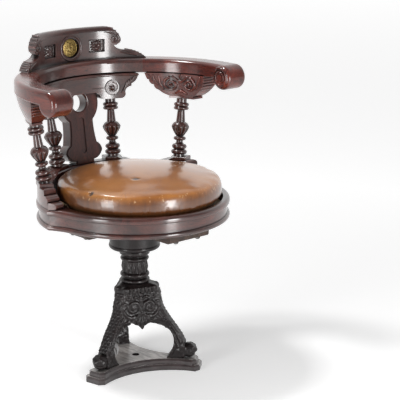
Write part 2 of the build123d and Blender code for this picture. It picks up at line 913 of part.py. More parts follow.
spindle_front_left = spindle(spindle_front_angle)
spindle_rear_left = spindle(spindle_rear_angle)
spindle_front_right = spindle(180 - spindle_front_angle)
spindle_rear_right = spindle(180 - spindle_rear_angle)
spindle_angles = (
    spindle_front_angle, spindle_rear_angle, 180 - spindle_front_angle, 180 - spindle_rear_angle
)
spindle_mortises = [spindle_core(angle, joint_clearance) for angle in spindle_angles]


# Splat, drawn upright and then leaned back over its foot
def splat_outline():
    nose, nose_rise = splat_toe_nose
    flare, flare_rise = splat_neck_flare
    waist_middle = (splat_ankle_rise + splat_waist_rise) / 2
    half = drawn(
        upright,
        (0, -splat_thickness),
        (splat_foot_half_width, -splat_thickness),
        (splat_foot_half_width, splat_foot_rise),
        ((splat_toe_half_width - splat_toe_hollow, splat_toe_rise / 2), (splat_toe_half_width, splat_toe_rise)),
        ((splat_toe_half_width - nose, splat_toe_rise + nose_rise), (splat_ankle_half_width, splat_ankle_rise)),
        (
            (splat_waist_half_width + splat_waist_bulge, waist_middle),
            (splat_waist_half_width, splat_waist_rise),
        ),
        (
            (splat_waist_half_width + flare, splat_waist_rise + flare_rise),
            (splat_neck_half_width, splat_neck_rise),
        ),
        (0, splat_neck_rise),
    )
    head = Pos(0, 0, splat_eye_rise) * Rot(90, 0, 0) * Circle(splat_head_radius)
    return half + mirrored(half) + head


def splat_blank(outline, thickness):
    return extrude(outline, thickness / 2, dir=(0, 1, 0), both=True)


splat_foot = Pos(0, ring_centre_y + horseshoe_middle, horseshoe_top)
splat_place = splat_foot * Rot(-splat_lean, 0, 0)
splat_tenon = splat_foot * Pos(0, 0, tenon_bite - splat_tenon_length / 2) * Box(
    splat_tenon_width, splat_tenon_thickness, splat_tenon_length + 2 * tenon_bite
)
splat_mortise = splat_foot * Pos(0, 0, -splat_tenon_length / 2) * Box(
    splat_tenon_width + 2 * joint_clearance,
    splat_tenon_thickness + 2 * joint_clearance,
    splat_tenon_length + 2 * joint_clearance,
)
splat_shape = splat_blank(splat_outline(), splat_thickness - 2 * splat_edge_step)
splat_shape += splat_blank(offset(splat_outline(), -splat_edge_width), splat_thickness)
splat_eye = Pos(0, 0, splat_eye_rise) * Rot(90, 0, 0) * Cylinder(splat_eye_radius, 2 * splat_thickness)
splat_shape -= splat_eye
eye_edges = splat_shape.edges().filter_by(lambda edge: edge.geom_type == GeomType.CIRCLE)
eye_edges = eye_edges.filter_by(lambda edge: abs(edge.radius - splat_eye_radius) < radius_tolerance)
splat_shape = fillet(eye_edges, splat_eye_round)
panel = Plane.XZ * SlotOverall(splat_panel_high - splat_panel_low, splat_panel_width, rotation=90)
panel_cut = extrude(panel, splat_panel_depth, both=True)
panel_cut = Pos(0, -splat_thickness / 2, (splat_panel_high + splat_panel_low) / 2) * panel_cut
splat_shape -= panel_cut
splat = splat_place * splat_shape & slab(horseshoe_top, bow_bottom)
splat += splat_tenon

# Horseshoe rail: a rounded bar with scrolled feet and blocks under the front spindles
rail_inset = corner_inset(horseshoe_round)
horseshoe_section = drawn(
    upright,
    (horseshoe_inner, frame_top),
    (horseshoe_outer, frame_top),
    (horseshoe_outer, horseshoe_top - horseshoe_round),
    (
        (horseshoe_outer - rail_inset, horseshoe_top - rail_inset),
        (horseshoe_outer - horseshoe_round, horseshoe_top),
    ),
    (horseshoe_inner + horseshoe_round, horseshoe_top),
    (
        (horseshoe_inner + rail_inset, horseshoe_top - rail_inset),
        (horseshoe_inner, horseshoe_top - horseshoe_round),
    ),
)
toe_middle_y = (foot_toe_y + foot_heel_y) / 2
toe_top = frame_top + foot_toe_height
step_top = frame_top + foot_step_height
toe_end_y = toe_middle_y - foot_toe_end[0]
step_end_y = foot_heel_y - foot_step_end[0]
foot_profile = drawn(
    sideways,
    (foot_toe_y, frame_top),
    ((foot_toe_y - foot_toe_nose, frame_top + foot_toe_height / 2), (foot_toe_y, toe_top)),
    ((foot_toe_y + foot_toe_crown[0], toe_top + foot_toe_crown[1]), (toe_end_y, toe_top + foot_toe_end[1])),
    ((toe_middle_y - foot_step_hollow[0], step_top - foot_step_hollow[1]), (toe_middle_y, step_top)),
    (
        (toe_middle_y + foot_step_crown[0], step_top + foot_step_crown[1]),
        (step_end_y, step_top + foot_step_end[1]),
    ),
    ((step_end_y, horseshoe_top - foot_heel_drop), (foot_heel_y, horseshoe_top)),
    (far, horseshoe_top),
    (far, frame_top),
)
seat_edge = Pos(0, 0, frame_top) * extrude(frame_outline(horseshoe_margin), far)
horseshoe = ring_arc(horseshoe_section, 0, 180) & across(foot_profile) & seat_edge
for angle in spindle_angles:
    block_height = plinth_block_height + plinth_block_round
    block = Box(plinth_block_width, plinth_block_length, block_height, align=on_base)
    block = fillet(block.edges().group_by(Axis.Z)[-1], plinth_block_round)
    place = ring_point(spindle_foot_ring, angle, horseshoe_top - plinth_block_round)
    horseshoe += Pos(*place) * Rot(0, 0, angle) * block
dip_radius = (horseshoe_dip_length ** 2 / 4 + horseshoe_dip ** 2) / (2 * horseshoe_dip)
dip_angle = (spindle_front_angle + spindle_rear_angle) / 2
for angle in (dip_angle, 180 - dip_angle):
    plane = facing(horseshoe_middle, angle, horseshoe_top + dip_radius - horseshoe_dip)
    horseshoe -= plane * Cylinder(dip_radius, 2 * horseshoe_width)
horseshoe -= spindle_mortises + [splat_mortise] + rail_screw_cuts


def horseshoe_peg_set(clearance=0.0):
    pegs = []
    for angle in (horseshoe_joint_angle, 180 - horseshoe_joint_angle):
        turn = math.radians(angle)
        tangent = Vector(-math.sin(turn), math.cos(turn), 0)
        middle = ring_point(horseshoe_middle, angle, frame_top + horseshoe_dowel_rise)
        pegs.append(peg(middle, tangent, dowel_length, clearance))
    return pegs


horseshoe -= horseshoe_peg_set(joint_clearance)
horseshoe_left = horseshoe & wedge(ring_centre_y, -rail_overrun, horseshoe_joint_angle)
horseshoe_back = horseshoe & wedge(ring_centre_y, horseshoe_joint_angle, 180 - horseshoe_joint_angle)
horseshoe_right = horseshoe & wedge(ring_centre_y, 180 - horseshoe_joint_angle, 180 + rail_overrun)
horseshoe_dowels = group(horseshoe_peg_set())


# Apron with a flat-bottomed lobe over each rear spindle and stepped ends
def apron_half(side):
    lobe_inner = roundel_x - apron_lobe_half_width
    lobe_outer = roundel_x + apron_lobe_half_width
    step_x = (lobe_outer + apron_end_x) / 2

    def spot(x, rise):
        return side * x, spindle_head + rise

    return drawn(
        upright,
        (0, bow_bottom),
        spot(0, apron_bay_rise),
        spot(lobe_inner - apron_bay_setback, apron_bay_rise),
        (spot(lobe_inner - apron_ogee_high[0], apron_ogee_high[1]), spot(lobe_inner, apron_ogee_rise)),
        (spot(lobe_inner + apron_ogee_low[0], apron_ogee_low[1]), spot(lobe_inner + apron_lobe_round, 0)),
        spot(lobe_outer - apron_lobe_round, 0),
        (spot(lobe_outer - apron_lobe_corner, apron_lobe_corner), spot(lobe_outer, apron_lobe_round)),
        (spot(lobe_outer + apron_step_hollow[0], apron_step_hollow[1]), spot(step_x, apron_step_rise)),
        spot(step_x, apron_step_rise + apron_step_height),
        (spot(apron_end_x - apron_end_hollow[0], apron_end_hollow[1]), (side * apron_end_x, bow_bottom)),
    )


apron_section = drawn(
    upright,
    (apron_inner, spindle_head),
    (apron_outer, spindle_head),
    (apron_outer, bow_bottom),
    (apron_inner, bow_bottom),
)
apron_ends = (90 - apron_sweep, 90 + apron_sweep)
apron_front = through(apron_half(1)) + through(apron_half(-1))
apron = ring_arc(apron_section, *apron_ends) & apron_front
apron_bead = Pos(apron_inner, 0, bow_bottom - apron_bead_radius) * Rot(90, 0, 0) * Circle(apron_bead_radius)
apron += ring_arc(apron_bead, *apron_ends) & apron_front
roundel_angle = math.degrees(math.acos(roundel_x / apron_inner))
roundel_level = spindle_head + roundel_rise
line_angle = math.degrees(math.acos(apron_line_start_x / apron_inner))
line_section = Pos(apron_inner, 0, roundel_level) * Rot(90, 0, 0) * Circle(apron_line_radius)
apron -= ring_arc(line_section, roundel_angle, line_angle)
apron -= ring_arc(line_section, 180 - line_angle, 180 - roundel_angle)
roundel_angles = (roundel_angle, 180 - roundel_angle)
roundel_planes = [facing(apron_inner, angle, roundel_level) for angle in roundel_angles]
bed_hole = Pos(0, 0, -roundel_bed) * Cylinder(roundel_radius + roundel_groove, far, align=on_base)
apron -= [plane * bed_hole for plane in roundel_planes]


def upright_pegs(places, clearance=0.0):
    return [peg(place, Vector(0, 0, 1), upright_dowel_length, clearance) for place in places]


apron_middle = (apron_inner + apron_outer) / 2 + apron_dowel_offset
apron_peg_places = [ring_point(apron_middle, angle, bow_bottom) for angle in apron_dowel_angles]
apron -= upright_pegs(apron_peg_places, joint_clearance) + spindle_mortises
apron -= splat_place * splat_blank(splat_outline(), splat_thickness)
apron_dowels = group(upright_pegs(apron_peg_places))
rim_inset = corner_inset(roundel_edge)
roundel_turning = turned(
    (0, -roundel_bed),
    (roundel_radius, -roundel_bed),
    (roundel_radius, roundel_proud - roundel_edge),
    ((roundel_radius - rim_inset, roundel_proud - rim_inset), (roundel_radius - roundel_edge, roundel_proud)),
    (roundel_button_radius + roundel_edge, roundel_proud),
    (roundel_button_radius, roundel_proud - roundel_dish),
    dome(roundel_button_radius, roundel_proud - roundel_dish, roundel_button_proud),
)
apron_roundels = group(plane * roundel_turning for plane in roundel_planes)

# Carved brackets, left drawn and right mirrored
spindle_y = ring_point(spindle_head_ring, spindle_front_angle, 0).Y
foot_front, foot_rear = spindle_y - bracket_foot_front, spindle_y + bracket_foot_rear
plate_top = spindle_head + bracket_foot_height
scallop = (bracket_rear_y - foot_rear) / 4
rise = (bow_bottom - plate_top) / 4


def scallop_point(back, up):
    """Point on a bracket's rear edge, in quarters of its length and height."""
    return foot_rear + back * scallop, plate_top + up * rise


bracket_profile = drawn(
    sideways,
    (bracket_front_y, bow_bottom),
    ((bracket_front_y + bracket_front_hollow, plate_top + 2 * rise), (foot_front, plate_top)),
    (foot_front - bracket_foot_lip, plate_top),
    (foot_front - bracket_foot_lip, spindle_head),
    (foot_rear + bracket_foot_lip, spindle_head),
    (foot_rear + bracket_foot_lip, plate_top),
    (foot_rear, plate_top),
    (scallop_point(1, 1 / 3), scallop_point(2, 1)),
    (scallop_point(2.5, 1.3), scallop_point(2.7, 1.9)),
    scallop_point(3, 2),
    (scallop_point(3.3, 2.3), scallop_point(3.4, 2.8)),
    scallop_point(3.7, 2.9),
    (bracket_rear_y, bow_bottom),
)
bracket_section = drawn(
    upright,
    (bracket_inner + bracket_foot_inner_inset, spindle_head),
    (bracket_outer - bracket_foot_outer_inset, spindle_head),
    (bracket_outer - bracket_foot_outer_inset, plate_top),
    ((bracket_outer - bracket_foot_outer_inset / 3, plate_top + 2 * rise), (bracket_outer, bow_bottom)),
    (bracket_inner, bow_bottom),
    (bracket_inner + bracket_foot_inner_inset, plate_top),
)
bracket_middle = (bracket_inner + bracket_outer) / 2
bracket_peg_places = []
for y in bracket_dowel_y:
    reach = math.sqrt(bracket_middle ** 2 - (y - ring_centre_y) ** 2)
    bracket_peg_places.append(Vector(reach + bracket_dowel_offset, y, bow_bottom))
arm_bracket_left = ring_arc(bracket_section, 0, bracket_sweep) & across(bracket_profile)
arm_bracket_left -= upright_pegs(bracket_peg_places, joint_clearance) + [spindle_mortises[0]]
arm_bracket_right = mirrored(arm_bracket_left)
bracket_pegs = upright_pegs(bracket_peg_places)
bracket_dowels = group(bracket_pegs + [mirrored(pin) for pin in bracket_pegs])


# Bow rail: a bullnosed bar in three lengths, the outer two ending in scrolled arms
def bow_section(bottom, top):
    inset = corner_inset(bow_round)
    return drawn(
        upright,
        (bow_inner + bow_lower_round, bottom),
        (bow_outer - bow_lower_round, bottom),
        (bow_outer, bottom + bow_lower_round),
        (bow_outer, top - bow_round),
        ((bow_outer - inset, top - inset), (bow_outer - bow_round, top)),
        (bow_inner + bow_round, top),
        ((bow_inner + inset, top - inset), (bow_inner, top - bow_round)),
        (bow_inner, bottom + bow_lower_round),
    )


def bow_peg_set(clearance=0.0):
    turn = math.radians(bow_joint_angle)
    tangent = Vector(-math.sin(turn), math.cos(turn), 0)
    level = bow_bottom + bow_thickness / 2
    rings = (bow_middle - bow_dowel_spread / 2, bow_middle + bow_dowel_spread / 2)
    middles = [ring_point(ring, bow_joint_angle, level) for ring in rings]
    return [peg(middle, tangent, dowel_length, clearance) for middle in middles]


crest_screw_places = []
for angle in crest_screw_angles:
    crest_screw_places.append(tuple(ring_point(crest_screw_ring, angle, bow_bottom)))
crest_screw_cuts = screw_set(crest_screw_places, crest_screw_length, joint_clearance)
bow_pegs = bow_peg_set()
bow_peg_cuts = bow_peg_set(joint_clearance)
bow_back = ring_arc(bow_section(bow_bottom, bow_top), bow_joint_angle, 180 - bow_joint_angle)
bow_back -= bow_peg_cuts + [mirrored(cut) for cut in bow_peg_cuts]
bow_back -= crest_screw_cuts + upright_pegs(apron_peg_places, joint_clearance)
bow_dowels = group(bow_pegs + [mirrored(pin) for pin in bow_pegs])

scroll_y = ring_centre_y - arm_straight
scroll_level = bow_top - arm_scroll_radius
straight = Pos(0, scroll_y, 0) * extrude(bow_section(bow_bottom, bow_top), arm_straight, dir=(0, 1, 0))
roll_axis = Axis((0, scroll_y, scroll_level), (1, 0, 0))
roll_inset = corner_inset(bow_round)
roll_top = scroll_level + arm_scroll_radius
roll_inner = bow_inner - arm_scroll_proud
roll_face = drawn(
    upright,
    (roll_inner, scroll_level),
    (roll_inner, roll_top - bow_round),
    ((roll_inner + roll_inset, roll_top - roll_inset), (roll_inner + bow_round, roll_top)),
    (bow_outer - bow_round, roll_top),
    ((bow_outer - roll_inset, roll_top - roll_inset), (bow_outer, roll_top - bow_round)),
    (bow_outer, scroll_level),
)
roll = revolve(Pos(0, scroll_y, 0) * roll_face, roll_axis)
diagonal = arm_scroll_radius * math.sqrt(0.5)
cove_profile = drawn(
    sideways,
    (scroll_y, scroll_level),
    (scroll_y + diagonal, scroll_level - diagonal),
    (
        (scroll_y + diagonal + scroll_cove * cove_fullness, scroll_level - diagonal * cove_dip),
        (scroll_y + diagonal + scroll_cove, bow_bottom),
    ),
    (scroll_y + diagonal + scroll_cove, bow_bottom + bow_thickness / 2),
    (scroll_y, bow_bottom + bow_thickness / 2),
)
cove_low = scroll_level - arm_scroll_radius
cove_section = drawn(
    upright,
    (bow_inner + bow_round, cove_low),
    (bow_outer - bow_round, cove_low),
    (bow_outer - bow_round, bow_bottom + bow_thickness / 2),
    (bow_inner + bow_round, bow_bottom + bow_thickness / 2),
)
cove_run = ring_arc(cove_section, 0, cove_sweep)
cove_run += Pos(0, scroll_y, 0) * extrude(cove_section, arm_straight, dir=(0, 1, 0))
arm = ring_arc(bow_section(bow_bottom, bow_top), 0, bow_joint_angle) + straight + roll
arm += cove_run & across(cove_profile)
volute_place = Pos(roll_inner, scroll_y, scroll_level) * Rot(0, 90, 0)
arm -= volute_place * Torus(volute_ring_radius, volute_groove_radius)
arm += volute_place * Cylinder(volute_eye_radius, 2 * volute_eye_proud)
arm_left = arm - (bow_peg_cuts + upright_pegs(bracket_peg_places, joint_clearance))
arm_right = mirrored(arm_left)

# Crest with its scrolled ends, ledges, panels and medallion
top_inset = corner_inset(crest_top_round)
crest_section = drawn(
    upright,
    (crest_inner, bow_top),
    (bow_outer, bow_top),
    (bow_outer, crest_top - crest_top_round),
    ((bow_outer - top_inset, crest_top - top_inset), (bow_outer - crest_top_round, crest_top)),
    (crest_inner + crest_top_round, crest_top),
    ((crest_inner + top_inset, crest_top - top_inset), (crest_inner, crest_top - crest_top_round)),
)
ledge_top = bow_top + crest_ledge_height


def crest_half(side):
    ledge_low = ledge_top - crest_ledge_slope
    nose_level = crest_top - crest_scroll_drop - crest_scroll_nose[1]
    hollow, hollow_rise = crest_neck_hollow
    return drawn(
        upright,
        (0, bow_top),
        (0, crest_top),
        (side * crest_flat_half_width, crest_top),
        (
            (side * crest_shoulder_x, crest_top - crest_shoulder_drop),
            (side * crest_scroll_x, crest_top - crest_scroll_drop),
        ),
        (
            (side * (crest_scroll_x - crest_scroll_nose[0]), nose_level),
            (side * crest_curl_x, crest_top - crest_curl_drop),
        ),
        (side * crest_neck_x, crest_top - crest_neck_drop),
        ((side * (crest_neck_x + hollow), ledge_top + hollow_rise), (side * crest_ledge_start_x, ledge_top)),
        (side * crest_ledge_end_x, ledge_low),
        (
            (side * (crest_end_x - crest_end_hollow), ledge_low - crest_ledge_height / 3),
            (side * crest_end_x, bow_top),
        ),
    )


crest = ring_arc(crest_section, 90 - crest_sweep, 90 + crest_sweep)
crest &= through(crest_half(1)) + through(crest_half(-1))
medallion_plane = facing(crest_inner, 90, bow_top + medallion_rise)
well_bead = Torus(well_radius + 2 * well_bead_radius, well_bead_radius)
crest += medallion_plane * well_bead
crest -= medallion_plane * Pos(0, 0, -well_depth) * Cylinder(well_radius, far, align=on_base)
panel_level = bow_top + medallion_rise
for angle in (90 - panel_angle, 90 + panel_angle):
    plane = facing(crest_inner, angle, panel_level)
    crest -= plane * Pos(0, 0, -panel_depth) * Box(panel_width, panel_height, far, align=on_base)
    petal = Pos(petal_reach, 0, -panel_depth - petal_sink) * Sphere(panel_petal_radius)
    for turn in range(4):
        crest += plane * Rot(0, 0, 90 * turn) * petal
crest -= crest_screw_cuts
crest_screws = group(screw_set(crest_screw_places, crest_screw_length))
rim_level = medallion_thickness - medallion_rim_height
field_radius = medallion_radius - medallion_rim
medallion_turning = turned(
    (0, 0),
    (medallion_radius, 0),
    (medallion_radius, rim_level),
    ((medallion_radius - medallion_rim / 2, medallion_thickness), (field_radius, rim_level)),
    dome(field_radius, rim_level, medallion_thickness + medallion_crown),
)
medallion = medallion_plane * Pos(0, 0, -well_depth) * medallion_turning

nodes = {
    "base_plinth": base_plinth,
    "plinth_bolts": plinth_bolts,
    "tripod_casting": tripod_casting,
    "column": column,
    "upper_bush": upper_bush,
    "lower_bush": lower_bush,
    "thrust_washer": thrust_washer,
    "swivel_spindle": swivel_spindle,
    "keeper_washer": keeper_washer,
    "keeper_nut": keeper_nut,
    "split_pin": split_pin,
    "seat_flange": seat_flange,
    "flange_screws": flange_screws,
    "bearer_long": bearer_long,
    "bearer_cross": bearer_cross,
    "bearer_screws": bearer_screws,
    "seat_frame_front": seat_frame_front,
    "seat_frame_left": seat_frame_left,
    "seat_frame_right": seat_frame_right,
    "seat_frame_back": seat_frame_back,
    "frame_dowels": frame_dowels,
    "rail_screws": rail_screws,
    "cushion_board": cushion_board,
    "cushion_pad": cushion_pad,
    "horseshoe_left": horseshoe_left,
    "horseshoe_back": horseshoe_back,
    "horseshoe_right": horseshoe_right,
    "horseshoe_dowels": horseshoe_dowels,
    "spindle_front_left": spindle_front_left,
    "spindle_front_right": spindle_front_right,
    "spindle_rear_left": spindle_rear_left,
    "spindle_rear_right": spindle_rear_right,
    "splat": splat,
    "apron": apron,
    "apron_dowels": apron_dowels,
    "apron_roundels": apron_roundels,
    "arm_bracket_left": arm_bracket_left,
    "arm_bracket_right": arm_bracket_right,
    "bracket_dowels": bracket_dowels,
    "bow_back": bow_back,
    "arm_left": arm_left,
    "arm_right": arm_right,
    "bow_dowels": bow_dowels,
    "crest": crest,
    "crest_screws": crest_screws,
    "medallion": medallion,
}
os.makedirs("parts", exist_ok=True)
for name, solid in nodes.items():
    export_step(solid, f"parts/{name}.step")
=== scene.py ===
import math

import bpy
import numpy as np
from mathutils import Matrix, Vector, noise


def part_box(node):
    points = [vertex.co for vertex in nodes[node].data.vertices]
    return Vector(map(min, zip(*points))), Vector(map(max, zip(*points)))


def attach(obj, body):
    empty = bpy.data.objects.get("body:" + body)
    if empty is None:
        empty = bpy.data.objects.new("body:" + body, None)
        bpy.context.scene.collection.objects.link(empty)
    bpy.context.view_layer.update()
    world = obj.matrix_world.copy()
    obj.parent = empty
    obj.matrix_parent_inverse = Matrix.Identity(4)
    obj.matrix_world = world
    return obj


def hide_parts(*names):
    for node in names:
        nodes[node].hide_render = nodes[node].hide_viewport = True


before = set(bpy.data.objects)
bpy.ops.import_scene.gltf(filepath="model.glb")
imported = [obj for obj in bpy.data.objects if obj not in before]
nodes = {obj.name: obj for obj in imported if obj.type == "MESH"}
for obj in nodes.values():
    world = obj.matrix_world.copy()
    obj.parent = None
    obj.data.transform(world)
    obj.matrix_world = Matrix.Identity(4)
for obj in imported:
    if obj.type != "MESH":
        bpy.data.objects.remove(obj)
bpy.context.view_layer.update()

# Camera at the photograph's place, metres
camera_place = Vector((-2.1344, -2.6363, 1.2964))
camera_forward = Vector((0.64334, 0.72318, -0.25125))
camera_lens = 132.09


# Small helpers for shader graphs
class Graph:
    """A material's node tree with short calls to add and join nodes."""

    def __init__(self, name):
        self.material = bpy.data.materials.new(name)
        self.material.use_nodes = True
        self.tree = self.material.node_tree
        self.tree.nodes.clear()
        self.shader = self.add("BsdfPrincipled")
        output = self.add("OutputMaterial")
        self.tree.links.new(self.shader.outputs["BSDF"], output.inputs["Surface"])
        self.place = self.add("TexCoord").outputs["Object"]

    def add(self, kind, settings=None, **values):
        node = self.tree.nodes.new("ShaderNode" + kind)
        for key, value in (settings or {}).items():
            setattr(node, key, value)
        for key, value in values.items():
            self.put(node, key.replace("_", " "), value)
        return node

    def put(self, node, name, value):
        socket = node.inputs[name]
        if isinstance(value, bpy.types.NodeSocket):
            self.tree.links.new(value, socket)
        else:
            socket.default_value = value

    def set(self, **values):
        for key, value in values.items():
            self.put(self.shader, key.replace("_", " "), value)

    def stretch(self, scale):
        node = self.add("Mapping", Vector=self.place)
        node.inputs["Scale"].default_value = scale
        return node.outputs["Vector"]

    def noise(self, place, scale, detail=4.0, rough=0.55, warp=0.0):
        node = self.add("TexNoise", Vector=place, Scale=scale, Detail=detail)
        self.put(node, "Roughness", rough)
        self.put(node, "Distortion", warp)
        return node.outputs["Fac"]

    def cell_edges(self, place, scale):
        node = self.add("TexVoronoi", {"feature": "DISTANCE_TO_EDGE"}, Vector=place, Scale=scale)
        return node.outputs["Distance"]

    def ramp(self, value, *stops):
        node = self.add("ValToRGB", Fac=value)
        points = node.color_ramp.elements
        while len(points) < len(stops):
            points.new(0.5)
        for point, (at, colour) in zip(points, stops):
            point.position = at
            point.color = (*colour, 1.0)
        return node.outputs["Color"]

    def level(self, value, *stops):
        return self.ramp(value, *((at, (grey, grey, grey)) for at, grey in stops))

    def mix(self, share, first, second, how="MIX"):
        node = self.add("MixRGB", {"blend_type": how})
        for name, value in (("Fac", share), ("Color1", first), ("Color2", second)):
            if isinstance(value, tuple) and len(value) == 3:
                value = (*value, 1.0)
            self.put(node, name, value)
        return node.outputs["Color"]

    def maths(self, how, first, second):
        node = self.add("Math", {"operation": how})
        self.tree.links.new(first, node.inputs[0])
        self.put(node, 1, second)
        return node.outputs["Value"]

    def bump(self, height, strength, distance, normal=None):
        node = self.add("Bump", Strength=strength, Distance=distance, Height=height)
        if normal:
            self.tree.links.new(normal, node.inputs["Normal"])
        return node.outputs["Normal"]

    # Ambient occlusion, used below to paint shade into hollows and corners.
    def crevice(self, distance):
        node = self.add("AmbientOcclusion", {"samples": 6}, Distance=distance)
        return node.outputs["AO"]

    def upward(self):
        """How far a face looks up: 1 on top, 0 on a wall."""
        normal = self.add("NewGeometry").outputs["Normal"]
        return self.add("SeparateXYZ", Vector=normal).outputs["Z"]


# Materials
mm = 0.001
black = (0.004, 0.003, 0.003)
along_grain, along_pores = 0.07, 0.35
wobble = 20 * mm

# Nicks in the leather: place in millimetres, then radius
nicks = [(-63, -85, 492, 9), (-58, -107, 490, 3), (-183, -68, 476, 5.5)]


def blended(first, second, share):
    return tuple(a + (b - a) * share for a, b in zip(first, second))


def mahogany(name, grain_axis, dark, light, sheen=0.3):
    """French-polished wood whose figure runs along one axis, with painted shade in its crevices."""
    g = Graph(name)
    figure_scale = [along_grain if axis == grain_axis else 1 for axis in "xyz"]
    pore_scale = [along_grain * along_pores if axis == grain_axis else 1 for axis in "xyz"]
    figure = g.noise(g.stretch(figure_scale), 38, 6, 0.62, 0.6)
    pores = g.noise(g.stretch(pore_scale), 900, 2, 0.5)
    cloud = g.noise(g.place, 6, 3, 0.5)
    colour = g.ramp(figure, (0.34, dark), (0.5, blended(dark, light, 0.4)), (0.68, light))
    colour = g.mix(g.level(cloud, (0.35, 0.0), (0.7, 0.7)), colour, dark)
    colour = g.mix(g.level(pores, (0.36, 0.8), (0.46, 0.0)), colour, black)
    # Painted shade: the wood is darkened towards black in its crevices.
    shade = g.level(g.crevice(0.014), (0.35, 0.92), (0.92, 0.0))
    colour = g.mix(shade, colour, black)
    g.set(Base_Color=colour, Roughness=g.level(cloud, (0.3, 0.34), (0.7, 0.46)), Specular_IOR_Level=sheen)
    g.set(Coat_Weight=0.9, Coat_Roughness=0.15, Coat_IOR=1.6)
    normal = g.bump(pores, 0.06, 0.0004)
    g.set(Normal=g.bump(g.noise(g.place, 55, 3, 0.5), 0.08, 0.0012, normal))
    g.set(Coat_Normal=g.bump(g.noise(g.place, 30, 2, 0.5), 0.06, 0.0012))
    return g.material


def bare_wood(name, dark, light):
    """Wood without polish."""
    g = Graph(name)
    figure = g.noise(g.stretch((1, 0.08, 1)), 60, 5, 0.6, 0.6)
    g.set(Base_Color=g.ramp(figure, (0.35, dark), (0.65, light)), Roughness=0.6)
    g.set(Normal=g.bump(figure, 0.2, 0.0006))
    return g.material


def cast_iron(name, low, high, worn):
    """Black iron, browner and paler on the ridges that get rubbed, with painted shade in its crevices."""
    g = Graph(name)
    rough = g.noise(g.place, 260, 4, 0.6)
    blotch = g.noise(g.place, 22, 4, 0.6)
    colour = g.ramp(blotch, (0.35, low), (0.68, high))
    ridge = g.add("NewGeometry").outputs["Pointiness"]
    colour = g.mix(g.level(ridge, (0.51, 0.0), (0.58, 0.6)), colour, worn)
    # Painted shade: the iron is darkened in its crevices.
    shade = g.level(g.crevice(0.012), (0.3, 0.95), (0.9, 0.0))
    colour = g.mix(shade, colour, black)
    g.set(Base_Color=colour, Roughness=g.level(blotch, (0.3, 0.34), (0.7, 0.5)), Specular_IOR_Level=0.22)
    g.set(Coat_Weight=0.3, Coat_Roughness=0.16)
    g.set(Normal=g.bump(rough, 0.5, 0.0012))
    return g.material


def plinth_iron(name):
    """Iron with a pale grey-brown top, partly dust under boots and partly painted light against the seat's
    shadow.
    """
    g = Graph(name)
    blotch = g.noise(g.place, 26, 5, 0.62)
    scuffs = g.noise(g.stretch((1, 0.2, 1)), 120, 4, 0.6)
    # Pale top: dust from boots, made paler still as painted light that offsets the seat's shadow on it.
    top = g.ramp(blotch, (0.32, (0.32, 0.285, 0.27)), (0.7, (0.68, 0.64, 0.61)))
    top = g.mix(g.level(scuffs, (0.4, 0.55), (0.55, 0.0)), top, (0.07, 0.06, 0.056))
    side = g.ramp(blotch, (0.35, (0.020, 0.014, 0.014)), (0.7, (0.066, 0.050, 0.050)))
    facing = g.upward()
    # The top is painted far lighter than the sides: partly dust, partly painted light.
    colour = g.mix(g.level(facing, (0.8, 0.0), (0.97, 1.0)), side, top)
    # Painted shade: the plinth is darkened in its crevices.
    shade = g.level(g.crevice(0.02), (0.3, 0.85), (0.85, 0.0))
    g.set(Base_Color=g.mix(shade, colour, black), Coat_Weight=0.7, Coat_Roughness=0.2)
    g.set(Roughness=g.level(facing, (0.8, 0.36), (0.97, 0.6)))
    g.set(Normal=g.bump(g.noise(g.place, 240, 4, 0.6), 0.2, 0.0008))
    return g.material


def worn_metal(name, low, high):
    """Dull, blotched bare metal."""
    g = Graph(name)
    blotch = g.noise(g.place, 120, 5, 0.65)
    g.set(Base_Color=g.ramp(blotch, (0.35, low), (0.65, high)), Metallic=1.0)
    g.set(Roughness=g.level(blotch, (0.3, 0.3), (0.7, 0.5)))
    g.set(Normal=g.bump(g.noise(g.place, 600, 3, 0.6), 0.15, 0.0004))
    return g.material


def old_gilt(name):
    """Mottled gilding, with painted shade darkening its hollows."""
    g = Graph(name)
    blotch = g.noise(g.place, 330, 4, 0.6)
    dark, middle, bright = (0.10, 0.062, 0.016), (0.42, 0.29, 0.09), (0.72, 0.55, 0.24)
    colour = g.ramp(blotch, (0.38, dark), (0.56, middle), (0.72, bright))
    # Painted shade: the gilding is darkened in its hollows.
    shade = g.level(g.crevice(0.006), (0.4, 0.9), (0.9, 0.0))
    g.set(Base_Color=g.mix(shade, colour, (0.03, 0.018, 0.006)), Metallic=0.75, Roughness=0.42)
    g.set(Normal=g.bump(blotch, 0.4, 0.0008))
    return g.material


